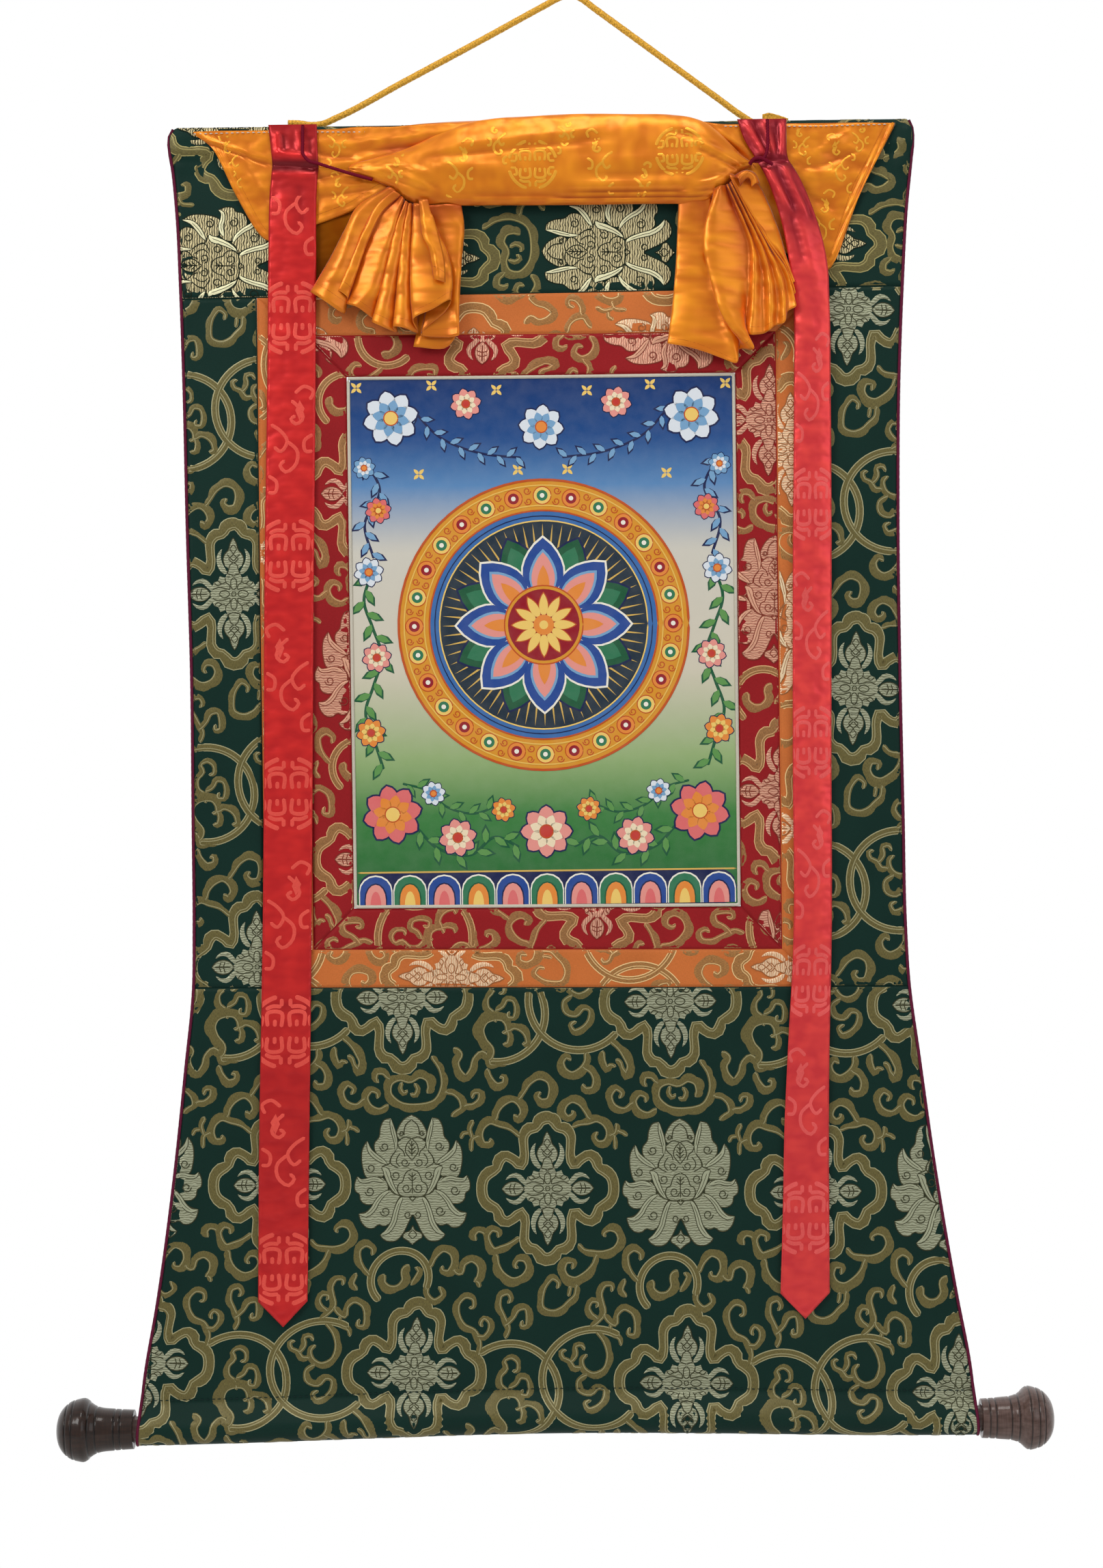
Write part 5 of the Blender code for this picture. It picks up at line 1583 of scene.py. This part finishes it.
def foldedGrid(lines, base, rows, shadow):
    # a pleated sheet drawn smoothly through the given fold lines
    table = np.array(lines, float)
    points, reach = table[:, :10].reshape(-1, 5, 2), table[:, 10:]
    index, v = np.arange(len(lines)), np.linspace(0, 1, rows)
    at = np.linspace(0, index[-1], index[-1] * 5 + 1)
    across, drop = (np.stack([smooth(np.linspace(0, 1, 5), fold, v) for fold in points[...,
                                                                                       k]]) for k in (0, 1))
    forward = reach[:, :1] * (1 - ease(v)) + reach[:, 1:] * ease(v)
    wide = np.concatenate([forward[:1], forward, forward[-1:]])
    hollow = np.clip(((wide[:-2] + wide[2:]) / 2 - forward) / 3.2 + 0.12, 0, 1)
    across, drop, forward, hollow = (np.stack([smooth(index, column, at) for column in field.T])
                                     for field in (across, drop, forward, hollow))
    up = 1 - v[:, None]
    hem = up * np.hypot(across[-1] - across[0], drop[-1] - drop[0])
    # painted shade: darker in the hollows between folds, more so higher up and at the roots under the band, plus
    # each fan's painted shadow, which lightens where negative
    dark = np.clip(hollow * (0.45 + 0.4 * up) + 0.55 * np.exp(-(v[:, None] / 0.16) ** 2) + shadow, 0, 1)
    ripple = 0.25 * np.sin(drop * 0.21 + at * 1.3) + 0.15 * np.sin(drop * 0.55 - at * 2.1)
    depth = base + cockle(across, drop) - forward - ripple
    return gridOf(across, drop, depth, dark, hem, (at * 4.0, drop))


def innerGrid():
    # the inside of the swag, seen between the flat part and the left tail; it is painted dark as shade, more so
    # to the left and lower down
    across = np.linspace(-133, -72, 24)
    v = np.linspace(0, 1, 20)[:, None]
    drop = 34 + (np.interp(across, (-133, -118, -104, -72), (97, 84, 62, 50)) - 34) * v
    depth = -1.75 + cockle(across, drop) - 0.3 * np.sin(across * 0.35) * v
    dark = np.clip(0.25 + 0.6 * ease((-112 - across) / 22) + 0.5 * ease((drop - 70) / 25), 0, 1)
    return gridOf(across, drop, depth, dark)


def silkPaint(name, colour, deep, hemTone=0.55, metallic=0.42, sheen=0.25):
    # satin, softly crushed; painted shade from the dark attribute mixes it towards the deep colour in the
    # hollows, and a stitched line runs along the hem
    paint = Paint(name, metallic=metallic, sheen_weight=sheen, sheen_roughness=0.35,
                  specular_ior_level=2 * sheen)
    cloth = paint.attribute("cloth", "Vector")
    threads = paint.noise(paint.stretch(cloth, (0.6, 2.4, 1.0)), 1.0)
    crush = paint.noise(paint.stretch(cloth, (0.09, 0.13, 1.0)), 1.0, 1.0)
    hem = paint.attribute("hem")
    stitched = ((hem - 5.2) * (hem - 5.2) < 0.05) * (threads > 0.46) * hemTone
    # the painted shade, or the stitched line where that is darker
    dark = paint.sum("MAXIMUM", paint.attribute("dark"), stitched)
    # lighter golden patches by the crush noise: a painted sheen for the satin's gleams
    gleamColour = (min(1.0, colour[0] * 1.04), colour[1] * 1.3, colour[2])
    paintedGleam = paint.mix(paint.ramp(crush, 0.35, 0.68), shade(colour, 0.88), gleamColour)
    rough = paint.ramp(crush, 0.3, 0.7) * 0.14 + 0.28
    return paint.finish(paint.mix(dark, paintedGleam, deep), crush, 0.5, 0.0022, rough)


def joinGrids(name, grids):
    faces, total = [], 0
    for grid, cloth, dark, hem in grids:
        faces.append(gridFaces(*grid.shape[:2]) + total)
        total += dark.size
    points, cloth = (np.concatenate([grid[k].reshape(-1, 3 - k) for grid in grids]) for k in (0, 1))
    dark, hem = (np.concatenate([grid[k].ravel() for grid in grids]) for k in (2, 3))
    return newMesh(name, points, faces,
                   {"cloth": np.column_stack((cloth, np.zeros(total))), "dark": dark, "hem": hem})


def roundelShapes(x, y, radius, half=1.15):
    # a generic fret in a ring, alike all four ways
    made = []
    for start in (14, 104, 194, 284):
        arc = circlePoints(x, y, radius, np.radians(np.linspace(start, start + 62, 9)))
        made.append(line(arc, half * 1.2, 0, 0.06, 18))
    frets = (((0.12, 0.12), (0.12, 0.52), (0.5, 0.52), (0.5, 0.14)), ((0.3, 0.14), (0.3, 0.34)),
             ((0.12, 0.7), (0.4, 0.7), (0.56, 0.62)), ((0.12, 0.7), (0.12, 0.92)),
             ((0.68, 0.14), (0.68, 0.42), (0.8, 0.42)), ((0.68, 0.14), (0.92, 0.14)))
    for sx in (-radius, radius):
        for sy in (-radius, radius):
            for points in frets:
                made.append(line([(x + sx * px, y + sy * py) for px, py in points], half, 0, 0.06,
                                 5 * len(points)))
    return made


def sprayShapes(x, y, flip, size=1.0, half=1.05):
    # loose curls and a leaf
    curls = (((0, -22), (5, -17), (7, -11), (3, -8), (0, -11), (3, -13)),
             ((2, -26), (8, -30), (13, -27), (11, -22)),
             ((-12, -8), (-6, -4), (-2, 2), (-6, 8), (-10, 5)),
             ((-2, 2), (4, 8), (3, 16), (-3, 20), (-6, 16), (-3, 13)),
             ((13, -2), (8, 2), (9, 8), (13, 8)), ((-13, 22), (-8, 26), (-9, 32), (-13, 32)))
    made = [line([(x + flip * size * px, y + size * py) for px, py in points], half, 0, 0.06,
                 16) for points in curls]
    leafPoints = [(x + flip * size * px, y + size * py) for px,
                  py in ((5, -22), (8, -17), (5, -10), (2.5, -16))]
    return made + [blob(leafPoints, 0, 0.06)]


def bandLay(across, drop, lift):
    # the band's front as a height over the cloth
    top, low = (columnAt(bandTable, k, across) for k in (1, 2))
    frontRows = bandSection[3:9]
    forward = smooth(frontRows[:, 1], frontRows[:, 0], (drop - top) / (low - top))
    wrinkle = creases(across, drop, bandCreases)
    return place(across, bandDepth(across, drop, forward, wrinkle) - silkHalf - lift, drop)


def flatLayVeil(across, drop, lift):
    return place(across, flatDepth(across, drop, creases(across, drop, flatCreases)) - silkHalf - lift,
                 drop)


bandRoundels = ((-3.5, 27.0), (82.0, 20.5))
bandSprays = ((-46, 30, 0.62, 1), (36, 25, 0.6, -1), (-24, 12, 0.45, -1), (60, 39, 0.4, 1),
              (-84, 30, 0.4, 1), (16, 8, 0.4, 1))
flatSprays = ((-146, 44, 0.55, 1), (-180, 20, 0.5, -1), (-116, 40, 0.4, -1), (-118, 10, 0.45, 1),
              (165, 60, 0.6, 1),
              (176, 26, 0.55, -1), (188, 12, 0.4, 1), (154, 14, 0.4, -1))


def damask(name, roundels, sprays, half, insides, lay, paints):
    # roundels by their centres, then sprays by place, size and way
    shapes = [shape for x, y in roundels for shape in roundelShapes(x, y, 14.0, 0.78)]
    shapes += [shape for x, y, size, flip in sprays for shape in sprayShapes(x, y, flip, size, half)]
    return layOver(name, clipped(*withPlace(shapes), insides), lay, paints, "veil_silk")


def makeVeil():
    s = silkSettings
    grids = [flatGrid(300, 38), bandGrid(210, 60), foldedGrid(leftFolds, s["base"], 44, 0.16),
             foldedGrid(rightFolds, s["base"], 48, -0.04), foldedGrid(stripFolds, s["base"], 28, -0.04),
             foldedGrid(knotFolds, s["base"] - 1.5, 20, 0.1)]
    silk = silkPaint("veilSilk", s["colour"], s["deep"])
    veil = addPiece("veil_silk", joinGrids("veil_silk", grids), [silk], "veil_silk", ["veil"],
                    thick=s["thick"])
    # the inside of the swag: the same silk, its colour darkened as painted shade
    insideShaded = silkPaint("veilInside", s["insideShaded"], shade(s["insideShaded"], 0.4), metallic=0.2, sheen=0.02)
    mesh = joinGrids("veil_inside", [innerGrid()])
    inside = addPiece("veil_inside", mesh, [insideShaded], "veil_silk", thick=s["thick"])
    figured = [clothPaint("veilDamask", s["figure"], 0.3, 0.4, 0.1)]
    insides = [lambda across, drop: drop - bandEdge(across, 1) - 2.0, lambda across,
               drop: bandEdge(across, 2) - drop - 4.0]
    band = damask("band_damask", bandRoundels, bandSprays, 0.75, insides, bandLay, figured)
    insides = [lambda across, drop: drop - 6.0, lambda across,
               drop: columnAt(flatTable, 2, across) - drop - 3.5]
    flat = damask("flat_damask", (), flatSprays, 0.55, insides, flatLayVeil, figured)


makeVeil()

print("stage: ribbons")
leftRibbon = (
    (0.3, -157.5, -129.2, -5.7, 0), (12, -156.4, -129, -5.7, 0), (22, -155.6, -128.6, -5.7, 0.6),
    (40, -157.2, -129.8, -5.4, 0.8), (80, -158.6, -130.6, -4.4, 0.5), (130, -159.8, -131.6, -3.4, 0.3),
    (210, -161.8, -133.2, -3.4, 0.5), (286, -163.7, -134.9, -3.4, 0.3), (370, -165.2, -136.6, -3.4, 0.5),
    (446, -166.6, -138.1, -3.4, 0.3), (526, -168.8, -139.8, -3.4, 0.5), (600, -171, -141.7, -3.4, 0.4),
    (688, -172.8, -143.9, -3.4, 0),
)
rightRibbon = (
    (0.6, 116.2, 145, -5.7, 0), (12, 120, 144.8, -6, 0.8), (24, 126.6, 145.6, -7.2, 1.6),
    (34, 131.8, 151, -8.8, 1.8), (57, 139.8, 160.4, -9.6, 1.6), (85, 145.2, 167.2, -9.2, 1.6),
    (110, 147.4, 168.4, -7.6, 1.6), (160, 147.2, 168.6, -5.4, 1.5), (250, 145.6, 168.2, -4.2, 1.4),
    (370, 144, 166.6, -4, 1.4), (490, 142.4, 165, -4, 1.2), (540, 139.2, 163.4, -3.8, 0.9),
    (590, 136.4, 162.4, -3.6, 0.6), (640, 134.8, 162, -3.5, 0.4), (687, 132.8, 161.6, -3.4, 0),
)
leftRibbonCreases = (
    (1.5, 2, -154, 17, -134, 19.5), (-1.6, 1.6, -158, 23.5, -130, 25.5), (1, 1.8, -157, 29, -131, 30.5),
    (1.2, 2, -153, 5, -152, 17), (-0.9, 1.3, -149, 6, -148, 16), (0.9, 1.6, -140, 4, -139, 15),
    (-0.8, 1.2, -133, 8, -133, 18), (0.5, 3, -150, 40, -146, 60), (-0.4, 2, -140, 36, -138, 58),
    (0.5, 2.2, -152, 120, -138, 128),
)
rightRibbonCreases = (
    (1.8, 1.8, 121, 3, 132, 22), (-1.6, 1.2, 126, 3, 134, 22), (1.5, 1.6, 132, 2, 137, 20),
    (-1.4, 1.2, 139, 3, 139.5, 22), (1.4, 1.5, 143, 3, 141.5, 22), (-1.8, 2, 129, 25.5, 146, 25.5),
    (1.5, 1.8, 133, 30, 144, 52), (-1.3, 1.5, 138, 29, 149, 56), (1.4, 1.8, 143, 29, 155, 56),
    (-0.9, 1.4, 146, 33, 160, 62), (-0.8, 2.2, 146, 58, 153, 84), (0.7, 2.4, 152, 60, 160, 92),
    (0.5, 3, 150, 120, 164, 126), (-0.4, 2.2, 148, 176, 166, 180),
)


def ribbonLay(rows, wrinkles):
    def lay(x, v, lift):
        # x runs from 0 to 1 across the ribbon, v is the length down it
        at = np.clip(v, rows[0, 0], rows[-1, 0])
        left, right, depth, bulge = (columnAt(rows, k, at) for k in (1, 2, 3, 4))
        across = left + (right - left) * x
        edges = 0.12 * np.sin(v * 0.11) * (2 * x - 1)
        wrinkle = creases(across, v, wrinkles)
        depth = depth + cockle(across, np.maximum(v, 0)) - bulge * 4 * x * (1 - x) - wrinkle - edges
        return place(across, depth - lift - np.where(lift > 0, 0.2, 0.0), v)
    return lay


def makeRibbon(node, s):
    rows, width, tip = np.array(s["rows"], float), 28, 15
    lay = ribbonLay(rows, s["creases"])
    # closer rows near the top, where the creases are; the lower end is longer in its middle
    share = (np.linspace(0, 1, 320) ** 1.6)[:, None]
    x, v = np.linspace(0, 1, 19), rows[0, 0] + (rows[-1, 0] - rows[0, 0]) * share
    v = v + tip * (1 - np.abs(2 * x - 1)) * ease((share - 0.9) / 0.1)
    x = np.broadcast_to(x, v.shape)
    left, right = (columnAt(rows, k, np.clip(v, rows[0, 0], rows[-1, 0])) for k in (1, 2))
    wrinkle = creases(left + (right - left) * x, v, s["creases"])
    # painted shade: darker in the hollows of the creases and by the listed painted shadows
    shadow = sum(height * np.exp(-((v - centre) / reach) ** 2) for height, centre, reach in s["shadows"])
    dark = np.clip(0.08 - 0.4 * wrinkle + shadow, 0, 1)
    hem = np.minimum(x, 1 - x) * width + 4.2
    silk = silkPaint(node + "Silk", s["colour"], s["deep"], 0.35)
    mesh = joinGrids(node, [(lay(x, v, 0.0 * v), np.stack((x * width, v), -1), dark, hem)])
    base = addPiece(node + "_silk", mesh, [silk], "ribbon_silk", [node], thick=0.4)
    shapes = []
    for k, y in enumerate(np.arange(s["firstRoundel"], 700, 139.0)):
        shapes += roundelShapes(0.0, y, 21.0) + sprayShapes(0.0, y - 69, s["flip"] if k % 2 else -s["flip"])
    data, tris, kinds = withPlace(shapes)
    data[:, 0] = data[:, 0] / 28.6 + 0.5
    insides = [lambda x, v: (x - 0.02) * width, lambda x, v: (0.98 - x) * width, lambda x, v: v - 42,
               lambda x, v: rows[-1, 0] + tip * (1 - np.abs(2 * x - 1)) - v]
    figured = [clothPaint(node + "Damask", s["figure"], 0.4, 0.3, 0.2)]
    woven = layOver(node + "_damask", clipped(data, tris, kinds, insides), lay, figured, "ribbon_silk")


# each shadow is height, place down the ribbon, reach, of painted shade; deep is the colour that painted shade
# mixes towards
ribbonSettings = {
    "left_ribbon": {
        "rows": leftRibbon, "creases": leftRibbonCreases, "firstRoundel": 113.0, "flip": 1,
        "colour": tone(230, 40, 42), "deep": tone(120, 8, 24), "figure": tone(250, 90, 80),
        "shadows": ((0.45, 6, 20), (0.8, 24.5, 4.0), (0.25, 40, 18), (0.6, 516, 1.6), (0.24, 600, 110))},
    "right_ribbon": {
        "rows": rightRibbon, "creases": rightRibbonCreases, "firstRoundel": 226.0, "flip": -1,
        "colour": tone(253, 67, 71), "deep": tone(140, 12, 34), "figure": tone(252, 98, 96),
        "shadows": ((0.75, 4, 26), (0.5, 26, 4), (0.6, 48, 28), (0.14, 640, 130))},
}
for ribbonName, ribbonValues in ribbonSettings.items():
    makeRibbon(ribbonName, ribbonValues)


print("stage: ties")
leftTie = (
    (-137.2, 1.4, -8.1), (-137.3, 11, -8.6), (-137, 18.6, -8.8), (-134.2, 22, -8.6), (-128.2, 23.9, -8.3),
    (-118, 27.2, -7.8), (-108, 30.4, -8), (-97, 33.6, -8.4),
)
rightTie = (
    (133.6, 1.6, -9), (133.6, 11, -10.2), (133.2, 19, -11.6), (131.6, 24, -12.4), (128.4, 26.6, -12.4),
    (124.4, 26.6, -11.6),
)
tieKnot = (
    (122.6, 28.4, -12.2), (125.4, 25.6, -13.6), (129.6, 25.4, -13.8), (133.2, 27.2, -13), (136, 28.6, -12),
)


def makeTie(node, table, farEnd):
    thread = clothPaint(node + "Thread", tone(112, 12, 40), 0.6, 0.0, 0.3, 2.5)
    across, drop, depth = route(table, 90).T
    path = place(across, depth + cockle(across, drop), drop)
    tie = twistedTube(node + "_thread", path, 1.05, thread, "tie_thread", [node], 3.4, depth=0.25)
    length = pathLength(path)
    extra = []
    if farEnd == "knot":
        across, drop, depth = route(tieKnot, 30).T
        extra = [twistedTube(node + "_knot", place(across, depth, drop), 1.2, thread, "tie_thread", (),
                             3.4, depth=0.25)]
    print(node, "length", round(length, 4))


makeTie("left_tie", leftTie, "object")
makeTie("right_tie", rightTie, "knot")

print("stage: wood")
# where each knob meets the cloth, its way outwards, its length, its grooves and its two tones; both are the same
# walnut, the left knob's tones darkened as painted shade and the right's lightened as painted light
knobSettings = {"left": (-246.6, -1, 1.0, (7.2, 10.8, 21.4, 25.5, 34.7, 38.6),
                         (tone(56, 37, 28), tone(28, 17, 11))),
                "right": (249.6, 1, 0.94, (4.1, 7.8, 16.5, 20.9, 27.2, 31.9, 35.4),
                          (tone(112, 90, 84), tone(68, 48, 40)))}
knobProfile = np.array((
    (45.2, 0), (44.6, 6), (43, 10.4), (40.2, 14), (36.8, 16.5), (32.8, 17.8), (28.4, 18.2), (26.2, 16.8),
    (24, 14.8), (21, 13.4), (11, 12), (0, 11.3), (0, 8.1), (9, 8.1), (9, 0),
), float)


def woodPaint(name, light, dark, roughness=0.38):
    paint = Paint(name, roughness=roughness, specular_ior_level=0.2, coat_weight=0.5, coat_roughness=0.12)
    at = paint.node("TexCoord", out=3)
    grain = paint.noise(paint.stretch(at, (60.0, 420.0, 420.0)), 1.0, 4.0)
    turned = paint.noise(paint.stretch(at, (1400.0, 60.0, 60.0)), 1.0, 2.0)
    wood = paint.mix(paint.ramp(grain * 0.65 + turned * 0.35, 0.3, 0.7), dark, light)
    # the grooves are painted almost black, a painted shade in them
    return paint.finish(paint.mix(paint.attribute("groove"), wood, shade(dark, 0.25)),
                        grain + turned * 0.3, 0.2)


def makeKnob(side, cloth, way, stretch, grooves, tones):
    # radius = profile - 0.6 * exp(-(distance from a groove / 0.42) ** 2); its curve ends where it meets the cloth
    walnut = woodPaint(side + "Walnut", *tones)
    rows, corner = knobProfile * (stretch, 1.0), 11
    along = alongPath(rows)
    at = np.unique(np.concatenate([np.linspace(0, along[corner], 210), along[corner:]]))
    curved, bounded = at < along[corner], np.minimum(at, along[corner])
    out, radius = (np.where(curved, smooth(along[:corner + 1], column[:corner + 1], bounded),
                            np.interp(at, along, column))
                   for column in rows.T)
    cut = sum(np.exp(-((out - groove) / 0.42) ** 2) for groove in grooves) * curved
    radius = radius - np.minimum(0.6 * cut, radius * 0.3)
    keep = radius > 1e-6
    out, radius, cut = out[keep, None], radius[keep, None], cut[keep]
    angle = fullTurn(56)
    points = place(cloth + way * out + 0 * angle, radius * np.cos(angle),
                   dowelDrop(250) + radius * np.sin(angle))
    mesh = tubeMesh(side + "_knob", points if way < 0 else points[:, ::-1])
    groove = np.concatenate([np.repeat(cut, len(angle)), (0.0, 0.0)]).astype(np.float32)
    mesh.attributes.new("groove", "FLOAT", "POINT").data.foreach_set("value", groove)
    addPiece(side + "_knob_turned", mesh, [walnut], "walnut", [side + "_knob"])
    return walnut


def makeWood():
    # the dowel takes the last knob's paint, the right one's, with its painted light
    walnut = [makeKnob(side, *values) for side, values in knobSettings.items()][-1]
    plain = woodPaint("battenWood", tone(170, 135, 95), tone(120, 88, 58), 0.6)
    for node, paint in (("top_batten", plain), ("bottom_dowel", walnut)):
        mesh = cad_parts[node].data
        mesh.materials.clear()
        mesh.materials.append(paint)


makeWood()

print("stage: stitches")


def stitches(name, path, pitch, length, radius, paint, slotName):
    # short capsules at even steps along a path: size * sqrt(sin) along each, arched forward by 0.35 * sin
    sides = 6
    along = alongPath(path) / mm
    starts = np.arange(pitch / 2, along[-1] - pitch, pitch)
    t, angle = np.linspace(0, 1, sides), fullTurn(sides)
    centres = np.stack([np.interp(starts[:, None] + length * t, along, column) for column in path.T], -1)
    arch = np.sin(np.pi * t)
    centres[..., 1] -= 0.35 * mm * arch
    size = (radius * mm * np.sqrt(np.clip(arch, 0.03, 1)))[None, :, None, None]
    way = centres[:, -1] - centres[:, 0]
    way /= np.linalg.norm(way, axis=1)[:, None]
    side = np.cross(way, (0.0, 1.0, 0.0))
    other = np.cross(side, way)
    turned = np.cos(angle)[:, None] * side[:, None, None] + np.sin(angle)[:, None] * other[:, None, None]
    rings = centres[:, :, None] + size * turned
    first = np.arange(len(starts))[:, None, None] * sides * sides
    faces = gridFaces(sides, sides, True)[None] + first
    caps = np.stack([np.arange(sides)[::-1], np.arange(sides * (sides - 1), sides * sides)])[None] + first
    mesh = newMesh(name, rings.reshape(-1, 3), [faces.reshape(-1, 4), caps.reshape(-1, sides)],
                   {"cloth": np.zeros((len(starts) * sides * sides, 3))})
    return addPiece(name, mesh, [paint], slotName)


def makeStitches():
    thread = clothPaint("whiteThread", (0.62, 0.60, 0.52), 0.7)
    across = np.linspace(-203, 207, 600)
    path = place(across, coveringDepth(across, 5 + 0 * across) - 1.75, 4.6 + 0.3 * np.sin(across * 0.05))
    stitches("top_stitches", path, 3.1, 1.9, 0.32, thread, "veil_silk")
    dark = clothPaint("darkThread", (0.012, 0.03, 0.028), 0.7)
    across = np.linspace(-240, 243, 600)
    drop = dowelDrop(across) - sectionLow["pinch"] - 1.0
    stitches("sleeve_stitches", place(across, front + 0 * across - 0.62, drop), 3.4, 2.2, 0.26, dark,
             "green_brocade")


makeStitches()

print("stage: room")


def makeRoom():
    world = bpy.data.worlds.new("world")
    bpy.context.scene.world = world
    world.use_nodes = True
    tree = world.node_tree
    ground = tree.nodes["Background"]
    way = tree.nodes.new("ShaderNodeTexCoord")
    parts = tree.nodes.new("ShaderNodeSeparateXYZ")
    share = tree.nodes.new("ShaderNodeMapRange")
    share.inputs["From Min"].default_value, share.inputs["From Max"].default_value = -0.2, 0.45
    share.inputs["To Min"].default_value, share.inputs["To Max"].default_value = 0.42, 1.0
    tree.links.new(way.outputs["Generated"], parts.inputs[0])
    tree.links.new(parts.outputs["Y"], share.inputs["Value"])
    tree.links.new(share.outputs["Result"], ground.inputs["Strength"])
    ground.inputs["Color"].default_value = (1, 1, 1, 1)
    paint = Paint("floor", base_color=(0.75, 0.75, 0.74), roughness=0.8)
    points = np.array(((-1.6, -1.2, -1.1), (1.6, -1.2, -1.1), (1.6, 0.45, -1.1), (-1.6, 0.45, -1.1)))
    mesh = newMesh("floor", points, [np.array(((0, 1, 2, 3),))])
    mesh.materials.append(paint.material)
    addObject("floor", mesh)


makeRoom()
